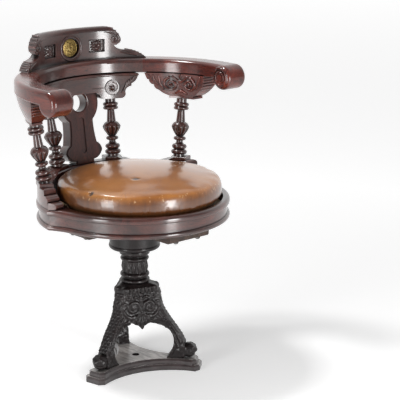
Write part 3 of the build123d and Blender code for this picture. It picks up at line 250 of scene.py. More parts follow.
def old_leather(name):
    """Polished hide, orange-brown on top, streaked down the wall and darkened there as painted shade,
    scuffed and nicked.
    """
    g = Graph(name)
    cloud = g.noise(g.place, 8, 5, 0.6, 0.4)
    brown, orange, tan = (0.24, 0.078, 0.012), (0.38, 0.138, 0.024), (0.46, 0.19, 0.042)
    colour = g.ramp(cloud, (0.3, brown), (0.5, orange), (0.72, tan))
    uneven = g.add("TexNoise", Vector=g.place, Scale=35.0, Detail=3.0).outputs["Color"]
    shift = g.add("VectorMath", {"operation": "SCALE"}, Vector=uneven, Scale=wobble)
    warped = g.add("VectorMath", {"operation": "ADD"})
    g.put(warped, 0, g.place)
    g.put(warped, 1, shift.outputs["Vector"])
    cracked = g.cell_edges(warped.outputs["Vector"], 70)
    patch = g.level(g.noise(g.place, 12, 3, 0.5), (0.5, 0.0), (0.68, 0.7))
    crack = g.mix(patch, (0, 0, 0), g.level(cracked, (0.0, 0.8), (0.03, 0.0)))
    colour = g.mix(crack, colour, (0.09, 0.03, 0.01))
    facing = g.upward()
    wall = g.level(facing, (0.1, 1.0), (0.6, 0.0))
    # Painted shade: the wall is darkened, standing in for the frame's shadow and its dark reflection.
    colour = g.mix(g.level(facing, (0.1, 0.9), (0.55, 0.0)), colour, (0.10, 0.033, 0.010))
    streaks = g.noise(g.stretch((1, 1, 0.1)), 85, 4, 0.6)
    streak = g.mix(wall, (0, 0, 0), g.level(streaks, (0.40, 0.55), (0.54, 0.0)))
    colour = g.mix(streak, colour, (0.08, 0.028, 0.01))
    # Painted shade: the leather is darkened in its creases and hollows.
    shade = g.level(g.crevice(0.016), (0.3, 0.9), (0.85, 0.0))
    colour = g.mix(shade, colour, (0.045, 0.017, 0.008))
    scuffs = g.level(g.noise(g.stretch((1, 1, 0.4)), 150, 3, 0.6), (0.60, 0.0), (0.66, 0.6))
    off_wall, off_top = g.level(facing, (0.15, 0.0), (0.3, 1.0)), g.level(facing, (0.75, 1.0), (0.9, 0.0))
    shoulder = g.maths("MULTIPLY", off_wall, off_top)
    colour = g.mix(g.maths("MULTIPLY", scuffs, shoulder), colour, (0.62, 0.42, 0.24))
    for *spot, size in nicks:
        away = g.add("VectorMath", {"operation": "DISTANCE"})
        g.put(away, 0, warped.outputs["Vector"])
        g.put(away, 1, [value * mm + wobble / 2 for value in spot])
        torn = g.level(away.outputs["Value"], (0.7 * size * mm, 0.95), (1.1 * size * mm, 0.0))
        colour = g.mix(torn, colour, (0.02, 0.009, 0.005))
    g.set(Base_Color=colour, Roughness=g.level(cloud, (0.3, 0.32), (0.7, 0.44)))
    g.set(Coat_Weight=0.9, Coat_Roughness=0.15)
    g.set(Normal=g.bump(g.level(cracked, (0.0, 0.0), (0.07, 1.0)), 0.10, 0.001))
    g.set(Coat_Normal=g.bump(g.noise(g.place, 60, 3, 0.5), 0.08, 0.001))
    return g.material


dark_wood = ((0.030, 0.009, 0.007), (0.14, 0.036, 0.025))
red_wood = ((0.055, 0.010, 0.007), (0.23, 0.038, 0.022))
black_iron = ((0.004, 0.0025, 0.0025), (0.013, 0.008, 0.008), (0.042, 0.030, 0.029))
materials = {
    "wood_x": mahogany("mahogany along the back", "x", *dark_wood),
    "wood_y": mahogany("mahogany along the sides", "y", *dark_wood),
    "wood_z": mahogany("mahogany upright", "z", *dark_wood),
    "arm": mahogany("red mahogany arms", "y", *red_wood, sheen=0.12),
    "bearer": bare_wood("stained bearer", (0.018, 0.009, 0.006), (0.06, 0.03, 0.018)),
    "bare": bare_wood("bare wood", (0.30, 0.2, 0.11), (0.48, 0.34, 0.2)),
    "iron": cast_iron("black cast iron", *black_iron),
    "plinth": plinth_iron("worn plinth iron"),
    "steel": worn_metal("dull steel", (0.12, 0.115, 0.11), (0.32, 0.31, 0.3)),
    "brass": worn_metal("plain brass", (0.28, 0.19, 0.07), (0.55, 0.41, 0.17)),
    "gilt": old_gilt("worn gilt"),
    "leather": old_leather("old brown leather"),
}
finish_of = {
    "wood_x": ["bow_back", "crest", "apron", "apron_roundels", "horseshoe_back", "seat_frame_front",
               "seat_frame_back"],
    "wood_y": ["seat_frame_left", "seat_frame_right", "horseshoe_left", "horseshoe_right"],
    "wood_z": ["spindle_front_left", "spindle_front_right", "spindle_rear_left", "spindle_rear_right",
               "splat"],
    "arm": ["arm_left", "arm_right", "arm_bracket_left", "arm_bracket_right"],
    "bearer": ["bearer_long", "bearer_cross"],
    "bare": ["frame_dowels", "horseshoe_dowels", "apron_dowels", "bracket_dowels", "bow_dowels",
             "cushion_board"],
    "iron": ["tripod_casting", "column", "seat_flange"],
    "plinth": ["base_plinth"],
    "steel": ["plinth_bolts", "swivel_spindle", "keeper_washer", "keeper_nut", "split_pin", "flange_screws",
              "bearer_screws", "rail_screws", "crest_screws"],
    "brass": ["upper_bush", "lower_bush", "thrust_washer"],
    "gilt": ["medallion"],
    "leather": ["cushion_pad"],
}


def paint(piece, material):
    piece.data.materials.clear()
    piece.data.materials.append(material)


for finish, names in finish_of.items():
    for name in names:
        paint(nodes[name], materials[finish])


# Shapes
rng = np.random.default_rng(7)


def settle(name, mesh, body, material):
    """A smooth-shaded piece that rides on a body."""
    piece = bpy.data.objects.new(name, mesh)
    bpy.context.collection.objects.link(piece)
    mesh.polygons.foreach_set("use_smooth", [True] * len(mesh.polygons))
    paint(piece, material)
    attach(piece, body)
    return piece


def applied(piece):
    """The piece's mesh with its modifiers applied."""
    bpy.context.view_layer.update()
    graph = bpy.context.evaluated_depsgraph_get()
    return bpy.data.meshes.new_from_object(piece.evaluated_get(graph))


def fine_copy(node, voxel):
    """Closed, evenly meshed copy of a CAD node."""
    piece = bpy.data.objects.new("fine copy", nodes[node].data.copy())
    bpy.context.collection.objects.link(piece)
    weld = piece.modifiers.new("weld", "WELD")
    weld.merge_threshold = 1e-5
    remesh = piece.modifiers.new("remesh", "REMESH")
    remesh.mode = "VOXEL"
    remesh.voxel_size = voxel
    mesh = applied(piece)
    bpy.data.objects.remove(piece)
    return mesh


def points_of(mesh):
    points = np.zeros(len(mesh.vertices) * 3, np.float32)
    mesh.vertices.foreach_get("co", points)
    return points.reshape(-1, 3).astype(float)


def normals_of(mesh):
    normals = np.zeros(len(mesh.vertices) * 3, np.float32)
    mesh.vertex_normals.foreach_get("vector", normals)
    return normals.reshape(-1, 3).astype(float)


def put_points(mesh, points):
    mesh.vertices.foreach_set("co", np.asarray(points, np.float32).ravel())
    mesh.update()


def soften(mesh, rounds, share=0.5):
    """Round a mesh off by moving each point towards its neighbours' mean."""
    edges = np.zeros(len(mesh.edges) * 2, np.int32)
    mesh.edges.foreach_get("vertices", edges)
    first, second = edges.reshape(-1, 2).T
    points = points_of(mesh)
    count = np.bincount(edges, minlength=len(points))[:, None].clip(1)
    for _ in range(rounds):
        total = np.zeros_like(points)
        np.add.at(total, first, points[second])
        np.add.at(total, second, points[first])
        points += share * (total / count - points)
    put_points(mesh, points)


# Carved strokes: a line in a plane with a radius at each point, in millimetres
bead_length = 0.01
tip_length = 0.8


def stroke(points, radii, steps=8):
    """Smooth stroke through a few points."""
    points = np.array(points, float)
    radii = np.broadcast_to(np.array(radii, float), (len(points),))
    padded = np.vstack([2 * points[0] - points[1], points, 2 * points[-1] - points[-2]])
    line, width = [], []
    for index in range(len(points) - 1):
        a, b, c, d = padded[index:index + 4]
        for share in np.arange(steps) / steps:
            cubic = 0.5 * (2 * b + (c - a) * share + (2 * a - 5 * b + 4 * c - d) * share ** 2
                           + (3 * b - a - 3 * c + d) * share ** 3)
            line.append(cubic)
            width.append(radii[index] + share * (radii[index + 1] - radii[index]))
    return np.array(line + [points[-1]]), np.array(width + [radii[-1]])


def curl(centre, outer, inner, start, turns, thick, thin, steps=30):
    """Spiral stroke that winds in to its eye."""
    share = np.linspace(0, 1, steps)
    angle = np.radians(start + 360 * turns * share)
    reach = outer + (inner - outer) * share ** 0.8
    line = np.array(centre) + np.stack([reach * np.cos(angle), reach * np.sin(angle)], 1)
    return line, thick + (thin - thick) * share


def bead(centre, radius):
    """Round boss, as a very short stroke."""
    line = np.array([centre, (centre[0], centre[1] + bead_length)], float)
    return line, np.array([radius, radius], float)


def flipped(strokes):
    """The strokes mirrored across the middle line."""
    return [(line * (-1, 1), radii) for line, radii in strokes]


def height_of(points, strokes):
    """Height of the strokes' rounded backs above their plane."""
    best = np.zeros(len(points))
    for line, radii in strokes:
        low, high = line.min(0) - radii.max(), line.max(0) + radii.max()
        near = np.flatnonzero(((points > low) & (points < high)).all(1))
        for a, b, ra, rb in zip(line, line[1:], radii, radii[1:]):
            run = b - a
            share = np.clip(((points[near] - a) @ run) / max(run @ run, 1e-12), 0, 1)
            gap = np.linalg.norm(points[near] - a - share[:, None] * run, axis=1)
            radius = ra + share * (rb - ra)
            best[near] = np.maximum(best[near], radius * np.sqrt(np.clip(1 - (gap / radius) ** 2, 0, 1)))
    return best


def tubes(name, strokes, place, body, material, flat=0.7, sides=10):
    """Strokes laid on a surface as rounded rods. Place gives a point of it and its outward direction."""
    points, faces = [], []
    for line, radii in strokes:
        centres, outs = zip(*(place(*spot) for spot in line))
        centres, outs = np.array(centres), np.array(outs)
        along = np.gradient(centres, axis=0)
        along /= np.linalg.norm(along, axis=1)[:, None].clip(1e-9)
        aside = np.cross(along, outs)
        aside /= np.linalg.norm(aside, axis=1)[:, None].clip(1e-9)
        first = len(points)
        for centre, out, side, radius in zip(centres, outs, aside, radii * mm):
            for step in range(sides):
                turn = 2 * math.pi * step / sides
                points.append(centre + radius * (math.cos(turn) * side + flat * math.sin(turn) * out))
        for ring in range(len(line) - 1):
            for step in range(sides):
                a = first + ring * sides + step
                b = first + ring * sides + (step + 1) % sides
                faces.append((a, b, b + sides, a + sides))
        last = first + (len(line) - 1) * sides
        for start, end, push in ((first, 0, -1), (last, -1, 1)):
            tip = len(points)
            points.append(centres[end] + along[end] * push * radii[end] * mm * tip_length)
            for step in range(sides):
                a, b = start + step, start + (step + 1) % sides
                faces.append((a, tip, b) if start == first else (a, b, tip))
    mesh = bpy.data.meshes.new(name)
    mesh.from_pydata([tuple(p) for p in points], [], faces)
    mesh.validate()
    settle(name, mesh, body, material)


# Cast-iron tripod with its relief
leg_turns = (71, 191, 311)
crown_tilt = math.radians(5.8)
tripod_voxel, column_voxel = 1.3 * mm, 1.2 * mm
face_height, leaf_height = 0.95, 0.9
crown_leaves = 4

# Which points of the casting take relief: how squarely they look out, and where they lie in millimetres
square_on = 0.9
face_reach = 36
side_reach, side_across = 30, 12
ridge_reach, ridge_across, ridge_levels, ridge_top = 48, 15, (62, 196), (54, 217)

# Leaves round the column's shaft: degrees for each, and where the shaft lies in millimetres
leaf_turn = 30
shaft_radius, shaft_play, shaft_levels = 28, 2, (240.5, 270)

# Soft bumps on a leg: place out, beside and up in millimetres, then size and rise
crown_bumps = [((51, 11, 204), 8, 3.2), ((57, 7, 188), 7, 2.4), ((60, 0, 172), 7, 2.6)]
foot_bumps = [
    ((150, 0, 47), 7, 2.6), ((143, 9, 54), 4.5, 3.2), ((137, 8, 62), 5, 2.6), ((126, 5, 67), 6, 2.6),
    ((119, 14, 56), 6, 3.2), ((111, 14, 44), 6, 2.8), ((120, 14, 35), 5, 2.6), ((134, 15, 38), 5, 2.2),
]

# Groove across a foot, and the bead under the seat's flange, in millimetres
mouth_reach, mouth_level, mouth_width, mouth_depth = 137, 39, 2.4, 2.0
flange_bead_reach, flange_bead_level, flange_bead_radius = 55.5, 307.5, 6.5


def turn_axes(degrees):
    """Outward and sideways directions at a turn about the swivel axis."""
    turn = math.radians(degrees)
    return np.array([math.cos(turn), math.sin(turn), 0]), np.array([-math.sin(turn), math.cos(turn), 0])


def face_strokes():
    """Scrolls, leaves and a pendant on a side of the crown, from its middle line and the floor."""
    half = [
        curl((20, 161), 17, 3.5, 200, -1.5, 5.2, 3.4, 44),
        bead((20, 161), 5),
        stroke([(6, 154), (9, 142), (20, 137), (33, 140), (42, 149), (47, 160)], [3, 4.8, 4.4, 4, 3.4, 2]),
        curl((41, 168), 7.5, 2, -70, 1.3, 3.4, 2.2, 26),
        curl((31, 188), 8.5, 2, 210, -1.4, 3.6, 2.2, 26),
        stroke([(3, 181), (12, 187), (20, 183), (26, 180)], [2, 3.6, 3.2, 2.4]),
        stroke([(18, 121), (27, 127), (38, 128), (48, 121), (56, 110)], [2.6, 3.2, 3.4, 3.2, 2.8]),
        stroke([(2, 140), (9, 128), (10, 115)], [2.4, 5.6, 3]),
        stroke([(5, 141), (17, 132), (20, 122)], [2.4, 5, 2.6]),
        stroke([(6, 143), (22, 139), (35, 132)], [2, 4, 2]),
        stroke([(44, 140), (51, 131), (55, 121)], [2, 3.6, 2]),
    ]
    for index in range(crown_leaves):
        top, waist, foot = (5 + 9 * index, 207), (5.5 + 9.3 * index, 199), (6 + 9.5 * index, 193)
        half.append(stroke([top, waist, foot], [4.2, 3.8, 1.5]))
    middle = [
        bead((0, 192), 6),
        stroke([(0, 188), (0, 178), (0, 168)], [3, 5.4, 4]),
        stroke([(0, 168), (0, 158), (0, 150)], [3.8, 2.6, 4.2]),
        bead((0, 146), 5.5),
        stroke([(0, 141), (0, 126), (0, 107)], [3.5, 7, 3.5]),
    ]
    return half + flipped(half) + middle


def leg_strokes():
    """Rims and a beaded stem on a leg's side, from the swivel axis and the floor."""
    rim = stroke([(58, 178), (66, 154), (84, 124), (100, 96), (113, 68)], [3, 3, 3, 2.8, 2.6])
    inner = stroke([(58, 114), (78, 99), (90, 78), (97, 56), (92, 38)], [2.6, 2.8, 2.8, 2.8, 2.6])
    stem, _ = stroke([(73, 130), (90, 99), (100, 76), (106, 56)], 1, 4)
    return [rim, inner] + [bead(spot, 3.4) for spot in stem]


def scales(run, across):
    """Overlapping scales along a leg's ridge, each one rising to a rounded tip."""
    pitch, width, lift = 9.0, 9.4, 2.6
    height = np.zeros(len(run))
    for back in (0, 1):
        row = np.floor(run / pitch) - back
        aside = ((across / width - (row % 2) / 2 + 0.5) % 1 - 0.5) * 2
        tip = pitch * (0.75 + 0.85 * np.sqrt(np.clip(1 - aside ** 2, 0, 1)))
        along = run - row * pitch
        height = np.where(along < tip, lift * along / tip, height)
    return height


def bumps(spots, reach, across, level):
    """Sum of soft bumps, set on both sides of a leg's middle."""
    push = np.zeros(len(reach))
    for (far_out, beside, up), size, rise in spots:
        for way in (-1, 1) if beside else (1,):
            gap = (reach - far_out) ** 2 + (across - way * beside) ** 2 + (level - up) ** 2
            push += rise * np.exp(-gap / size ** 2)
    return push


def pitting(points, size, depth):
    """Uneven skin of a sand casting."""
    return depth * np.array([noise.noise(spot) for spot in points / (size * mm)])


def tripod_piece():
    """Iron tripod with scrolls on its faces, scales down its legs and bumps on its feet."""
    mesh = fine_copy("tripod_casting", tripod_voxel)
    soften(mesh, 2)
    points, normals = points_of(mesh), normals_of(mesh)
    push = pitting(points, 5, 0.7)
    for leg_turn in leg_turns:
        out, aside = turn_axes(leg_turn + 60)
        facing_out = out * math.cos(crown_tilt) + np.array([0, 0, math.sin(crown_tilt)])
        on_face = np.flatnonzero((normals @ facing_out > square_on) & (points @ out > face_reach * mm))
        flat = np.stack([points[on_face] @ aside, points[on_face, 2]], 1) / mm
        push[on_face] += face_height * height_of(flat, face_strokes())
        out, aside = turn_axes(leg_turn)
        reach, across, level = points @ out / mm, points @ aside / mm, points[:, 2] / mm
        for way in (-1, 1):
            on_side = np.flatnonzero((normals @ aside * way > square_on) & (reach > side_reach)
                                     & (np.abs(across) > side_across))
            spots = np.stack([reach[on_side], level[on_side]], 1)
            push[on_side] += height_of(spots, leg_strokes())
        ridge = np.flatnonzero((np.abs(normals @ aside) < 0.5) & (normals @ out > 0.15)
                               & (reach > ridge_reach) & (np.abs(across) < ridge_across)
                               & (level > ridge_levels[0]) & (level < ridge_levels[1]))
        run = (ridge_top[1] - level[ridge]) * 0.9 + (reach[ridge] - ridge_top[0]) * 0.6
        push[ridge] += scales(run, across[ridge])
        push += bumps(crown_bumps + foot_bumps, reach, across, level)
        mouth = np.exp(-((level - mouth_level) / mouth_width) ** 2)
        push -= mouth_depth * mouth * np.clip((reach - mouth_reach) / 4, 0, 1)
    points += normals * (push * mm)[:, None]
    put_points(mesh, points)
    soften(mesh, 1, 0.25)
    piece = settle("tripod_relief", mesh, "base", materials["iron"])
    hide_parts("tripod_casting")


def column_piece():
    """Iron column with leaves round its shaft."""
    mesh = fine_copy("column", column_voxel)
    soften(mesh, 1)
    points, normals = points_of(mesh), normals_of(mesh)
    radius = np.hypot(points[:, 0], points[:, 1]) / mm
    level = points[:, 2] / mm
    around = np.degrees(np.arctan2(points[:, 1], points[:, 0])) % leaf_turn - leaf_turn / 2
    shaft = np.flatnonzero((np.abs(radius - shaft_radius) < shaft_play)
                           & (level > shaft_levels[0]) & (level < shaft_levels[1]))
    leaf = [stroke([(0, 241), (0, 254), (0, 269)], [2.6, 5.2, 2.2])]
    spots = np.stack([np.radians(around[shaft]) * shaft_radius, level[shaft]], 1)
    push = np.zeros(len(points))
    push[shaft] = leaf_height * height_of(spots, leaf)
    outside = radius > shaft_radius - 1
    push[outside] += pitting(points[outside], 4, 0.5)
    points += normals * (push * mm)[:, None]
    put_points(mesh, points)
    piece = settle("column_relief", mesh, "base", materials["iron"])
    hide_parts("column")


def flange_bead():
    """Round bead at the lower edge of the flange under the seat."""
    turns = np.linspace(0, 360, 73)
    ring = np.column_stack([turns, np.full(len(turns), flange_bead_level)])

    def place(turn, level):
        out, _ = turn_axes(turn)
        return out * flange_bead_reach * mm + np.array([0, 0, level * mm]), out

    strokes = [(ring, np.full(len(turns), flange_bead_radius))]
    tubes("flange_bead", strokes, place, "seat", materials["iron"], flat=1.0, sides=12)


# Leather cushion
cushion_middle = np.array([0, -22.0]) * mm
cushion_limit = 194 * mm
rim_level = 433 * mm
rim_blend = 2 * mm
drum_radius = 195 * mm
shoulder_level = 454 * mm
shoulder_round = 38 * mm
pad_voxel = 5 * mm
pad_shrink = (0.982, 0.982, 0.955)
swell_rounds, swell_limit = 20, 7 * mm

# Upright folds: count and radius, then the limits of their turn, depth, width and top in millimetres
fold_count, fold_radius = 80, 190
fold_limits = ((-math.pi, math.pi), (0.2, 0.8), (1.4, 3.4), (20, 46))
dent_count = 9
nick_depth = 1.6


def swell(mesh):
    """Inflate a mesh as cloth, holding each point near where it began."""
    piece = bpy.data.objects.new("swelling", mesh)
    bpy.context.collection.objects.link(piece)
    start = points_of(mesh)
    cloth = piece.modifiers.new("cloth", "CLOTH")
    cloth.settings.use_pressure = True
    cloth.settings.uniform_pressure_force = 4
    cloth.settings.tension_stiffness = 25
    cloth.settings.compression_stiffness = 25
    cloth.settings.effector_weights.gravity = 0
    cloth.point_cache.frame_start = 1
    cloth.point_cache.frame_end = swell_rounds
    scene = bpy.context.scene
    for step in range(1, swell_rounds + 1):
        scene.frame_set(step)
    result = applied(piece)
    move = points_of(result) - start
    reach = np.linalg.norm(move, axis=1)[:, None].clip(1e-9)
    put_points(result, start + move * np.minimum(1, swell_limit / reach))
    scene.frame_set(1)
    bpy.data.objects.remove(piece)
    return result


def cushion_piece():
    """Leather over the CAD pad: swelled, drawn out to a drum, made finer and creased."""
    mesh = fine_copy("cushion_pad", pad_voxel)
    low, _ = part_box("cushion_pad")
    middle = np.array([*cushion_middle, low[2]])
    put_points(mesh, middle + (points_of(mesh) - middle) * pad_shrink)
    mesh = swell(mesh)
    square_up(mesh)
    piece = bpy.data.objects.new("finer", mesh)
    bpy.context.collection.objects.link(piece)
    finer = piece.modifiers.new("finer", "SUBSURF")
    finer.levels = 2
    mesh = applied(piece)
    bpy.data.objects.remove(piece)
    crease(mesh, low[2])
    piece = settle("cushion_leather", mesh, "cushion", materials["leather"])
    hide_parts("cushion_pad")


def square_up(mesh):
    """Draw the wall out over the rim to the upright drum of a stuffed seat with a rounded shoulder."""
    soften(mesh, 8)
    points, normals = points_of(mesh), normals_of(mesh)
    flat = points[:, :2] - cushion_middle
    reach = np.linalg.norm(flat, axis=1).clip(1e-6)
    over = np.clip((points[:, 2] - shoulder_level) / shoulder_round, 0, 1)
    drum = drum_radius - shoulder_round * (1 - np.sqrt(1 - over ** 2))
    outward = np.clip((np.linalg.norm(normals[:, :2], axis=1) - 0.25) / 0.3, 0, 1)
    above = np.clip((points[:, 2] - rim_level) / rim_blend, 0, 1)
    wanted = reach + outward * above * np.maximum(drum - reach, 0)
    points[:, :2] = cushion_middle + flat * (wanted / reach)[:, None]
    put_points(mesh, points)
    soften(mesh, 5)


def crease(mesh, floor):
    """Press upright folds into the wall, dents into the top and the nicks into the hide."""
    points, normals = points_of(mesh), normals_of(mesh)
    flat = points[:, :2] - cushion_middle
    angle = np.arctan2(flat[:, 1], flat[:, 0])
    rise = (points[:, 2] - floor) / mm
    push = np.zeros(len(points))
    wall = np.clip((0.7 - normals[:, 2]) / 0.5, 0, 1) * np.clip(rise / 6, 0, 1)
    for place, depth, width, top in zip(*(rng.uniform(*limits, fold_count) for limits in fold_limits)):
        lean = place + rng.uniform(-0.05, 0.05) * (rise / 40)
        gap = np.angle(np.exp(1j * (angle - lean))) * fold_radius / width
        push -= depth * np.exp(-gap ** 2) * np.clip((top - rise) / 12, 0, 1) * wall
    for _ in range(dent_count):
        place = rng.uniform(-0.13, 0.13, 2)
        gap = np.linalg.norm(flat - place, axis=1) / rng.uniform(0.03, 0.06)
        push -= rng.uniform(0.1, 0.3) * np.exp(-gap ** 2) * (normals[:, 2] > 0.5)
    for *spot, size in nicks:
        gap = np.linalg.norm(points / mm - spot, axis=1) / size
        push -= nick_depth * np.exp(-gap ** 4)
    points += normals * (push * mm)[:, None]
    points[:, 2] = np.maximum(points[:, 2], floor)
    flat = points[:, :2] - cushion_middle
    reach = np.linalg.norm(flat, axis=1).clip(1e-6)
    above = np.clip((points[:, 2] - rim_level) / rim_blend, 0, 1)
    wanted = np.minimum(reach, cushion_limit + above * (drum_radius - cushion_limit))
    points[:, :2] = cushion_middle + flat * (wanted / reach)[:, None]
    put_points(mesh, points)


# Carving on the wood, with radii round the middle of the back's ring and heights in millimetres
ring_back = 24.0
ring_middle = np.array([0, -ring_back, 0]) * mm
bracket_top, bracket_foot = 687.2, 630.2
bracket_inner, bracket_outer, bracket_swell = (238, 233), (267, 286), 1.585
carving_lift = 0.3
roll_face, apron_face, crest_face = 229.2, 229.4, 261.1
spindle_rings = (228, 248)
spindle_levels = (482.2, 625.2)
spindle_turns = {"front": (25.5, (1, 0, 0)), "rear": (67.8, (0, 1, 0))}
spindle_lobe_count = 10
crest_radii = (261, 289)
panel_turn, panel_level, panel_radius = 15.8, 754.2, 265.8
panel_half_wide, panel_half_high = 18.5, 13.8
medallion_sunk, half_petal = 1.3, 0.39


def both_sides(name, strokes, place_on, material, flat=0.8):
    """The same carving on the sitter's left and right."""
    for way, side in ((1, "left"), (-1, "right")):
        tubes(f"{name}_{side}", strokes, place_on(way), "seat", material, flat)


def ring_spot(radius):
    """Place on the inner face of the back's ring, from millimetres across and up."""
    def place_on(way):
        def place(across, level):
            turn = math.acos(across / radius)
            inwards = np.array([-way * math.cos(turn), -math.sin(turn), 0])
            return ring_middle - inwards * radius * mm + np.array([0, 0, level * mm]), inwards
        return place
    return place_on


def spindle_lobes():
    """Rounded lobes round the bulb of each turned spindle, between its flutes."""
    line, radii = stroke([(9, 52), (15.5, 62), (19, 72.5), (16.5, 79)], [2.4, 3.8, 4.8, 3], 5)
    strokes = []
    for lobe in range(spindle_lobe_count):
        strokes.append((np.column_stack([line, np.full(len(line), lobe)]), radii))
    for row, (turn, start) in spindle_turns.items():
        for way, side in ((1, "left"), (-1, "right")):
            ahead = np.array([way * math.cos(math.radians(turn)), math.sin(math.radians(turn)), 0])
            foot, head = (ring_middle + ahead * radius * mm + np.array([0, 0, level * mm])
                          for radius, level in zip(spindle_rings, spindle_levels))
            axis = (head - foot) / np.linalg.norm(head - foot)
            first = np.array(start) - axis * (axis @ np.array(start))
            first /= np.linalg.norm(first)
            second = np.cross(axis, first)

            def place(radius, height, lobe):
                angle = 2 * math.pi * (lobe + 0.5) / spindle_lobe_count
                out = math.cos(angle) * first + math.sin(angle) * second
                return foot + (axis * height + out * radius) * mm, out

            name = f"spindle_lobes_{row}_{side}"
            tubes(name, strokes, place, "seat", materials["wood_z"], flat=0.75, sides=8)


def bracket_radii(level):
    """Inner and outer radius of a bracket at a height."""
    share = np.clip((level - bracket_foot) / (bracket_top - bracket_foot), 0, 1)
    inner = bracket_inner[0] + (bracket_inner[1] - bracket_inner[0]) * share
    outer = bracket_outer[0] + (bracket_outer[1] - bracket_outer[0]) * (1 - (1 - share) ** bracket_swell)
    return inner, outer


def arm_spot(way):
    """Place on a bracket's inner face, from millimetres back from the front and up."""
    def place(back, level):
        radius = bracket_radii(level)[0] - carving_lift
        turn = math.asin((back + ring_back) / radius)
        inwards = np.array([-way * math.cos(turn), -math.sin(turn), 0])
        return ring_middle - inwards * radius * mm + np.array([0, 0, level * mm]), inwards
    return place


def bracket_carving():
    """Two scrolls and leaves on the inner face of each bracket."""
    strokes = [
        curl((53, 661), 18, 4, 100, 1.6, 4.4, 2.8, 48),
        bead((53, 661), 5),
        curl((97, 660), 18, 4, 80, -1.6, 4.4, 2.8, 48),
        bead((97, 660), 5),
        stroke([(56, 681), (75, 668), (94, 681)], [2.8, 4, 2.8]),
        stroke([(35, 652), (28, 668), (21, 683)], [3, 3.4, 2]),
        stroke([(60, 637), (75, 645), (90, 637)], [2.4, 4, 2.4]),
        stroke([(114, 646), (120, 660), (123, 683)], [2.6, 3.6, 2]),
        stroke([(123, 653), (130, 667), (133, 683)], [2.2, 3, 1.8]),
        stroke([(133, 664), (138, 674), (141, 683)], [1.8, 2.6, 1.4]),
        stroke([(75, 684), (75, 672)], [3.4, 1.8]),
    ]
    both_sides("bracket_carving", strokes, arm_spot, materials["arm"], 1.0)


def bracket_reeds():
    """Rods across the hollow front of a bracket."""
    line, _ = stroke([(11, 687), (19, 658.7), (46.8, 630.2)], 1, 4)

    def place_on(way):
        def place(share, index):
            back, level = line[int(index)]
            behind = back + ring_back
            near, far = (math.sqrt(radius ** 2 - behind ** 2) for radius in bracket_radii(level))
            spot = np.array([way * (near + share * (far - near)), back, level]) * mm
            return spot, np.array([0, -0.8, -0.6])
        return place

    strokes = [stroke([(0.05, index), (0.95, index)], 3.2) for index in range(1, len(line) - 1)]
    both_sides("bracket_reeds", strokes, place_on, materials["arm"], 0.6)


def arm_volutes():
    """Spiral on the inner end of each arm's roll."""
    def place_on(way):
        def place(back, level):
            return np.array([way * roll_face, back, level]) * mm, np.array([-way, 0, 0])
        return place

    strokes = [curl((-52, 691.2), 25, 10, 60, 1.6, 3.0, 2.0, 60)]
    both_sides("arm_volute", strokes, place_on, materials["arm"])


def apron_carving():
    """Reeded leaves at the apron's ends and a spiral on each roundel."""
    strokes = [curl((88, 653.2), 13.5, 4.5, 90, -1.4, 2.2, 1.5, 40)]
    for index in range(5):
        strokes.append(stroke([(110 + 3.6 * index, 640 + 5.5 * index), (116 + 4 * index, 652 + 5 * index),
                               (121 + 4.2 * index, 668 + 3.2 * index)], [1.8, 3, 1.6]))
    both_sides("apron_carving", strokes, ring_spot(apron_face), materials["wood_x"])


def crest_carving():
    """Scroll and leaves at each end of the crest's face."""
    strokes = [
        curl((114.5, 769), 11, 2.5, 70, -1.5, 2.8, 1.8, 40),
        bead((114.5, 769), 3.2),
        stroke([(90, 787), (104, 785), (114, 780)], [1, 2.2, 2.6]),
        stroke([(126, 736), (140, 733), (152, 730), (163, 726)], [1.4, 2.8, 2.8, 1.4]),
        stroke([(132, 740), (146, 737.5), (158, 734)], [1, 2.2, 1]),
    ]
    both_sides("crest_scroll", strokes, ring_spot(crest_face), materials["wood_x"])


def crest_reeds():
    """Rods through the crest's thickness, round its scrolled ends and down its ledges."""
    scroll = [(111, 794.5), (118, 788), (124, 780), (127.5, 770.5), (126.5, 761.5), (120, 756.5)]
    ledge = [(153, 738.3), (159.5, 735.8), (165.5, 732.8), (170.7, 729), (175, 724.6)]
    spots = scroll + ledge

    def place_on(way):
        def place(share, index):
            x, level = spots[int(index)]
            near, far = (math.sqrt(radius ** 2 - x ** 2) for radius in crest_radii)
            middle = np.array([way * x, near + share * (far - near), level]) * mm
            return ring_middle + middle, np.array([way, 0, 0])
        return place

    strokes = [stroke([(0.1, index), (0.9, index)], 3.3) for index in range(len(spots))]
    both_sides("crest_reeds", strokes, place_on, materials["wood_y"], 1.0)


def panel_rosettes():
    """Square rosette inside a small frame in each of the crest's panels."""
    strokes = [bead((0, 0), 4.6)]
    for corner in range(4):
        turn = math.radians(90 * corner + 45)
        ahead = np.array([1.15 * math.cos(turn), 0.9 * math.sin(turn)])
        beside = np.array([-ahead[1], ahead[0]])
        strokes.append(stroke([ahead * 5, ahead * 11, ahead * 16], [1.8, 3.8, 1.4]))
        for way in (-1, 1):
            bend, tip = ahead * 11 + beside * way * 4.5, ahead * 13 + beside * way * 7
            strokes.append(stroke([ahead * 7, bend, tip], [1.4, 2.6, 1.2]))
    wide, high = panel_half_wide, panel_half_high
    for way in (-1, 1):
        strokes.append(stroke([(-wide, way * high), (wide, way * high)], 1.6))
        strokes.append(stroke([(way * wide, -high), (way * wide, high)], 1.6))

    def place_on(way):
        turn = math.radians(90 - way * panel_turn)
        inwards = np.array([-math.cos(turn), -math.sin(turn), 0])
        along = np.array([math.sin(turn), -math.cos(turn), 0])

        def place(across, rise):
            middle = ring_middle - inwards * panel_radius * mm
            return middle + along * across * mm + np.array([0, 0, (panel_level + rise) * mm]), inwards
        return place

    both_sides("panel_rosette", strokes, place_on, materials["wood_x"], 0.9)


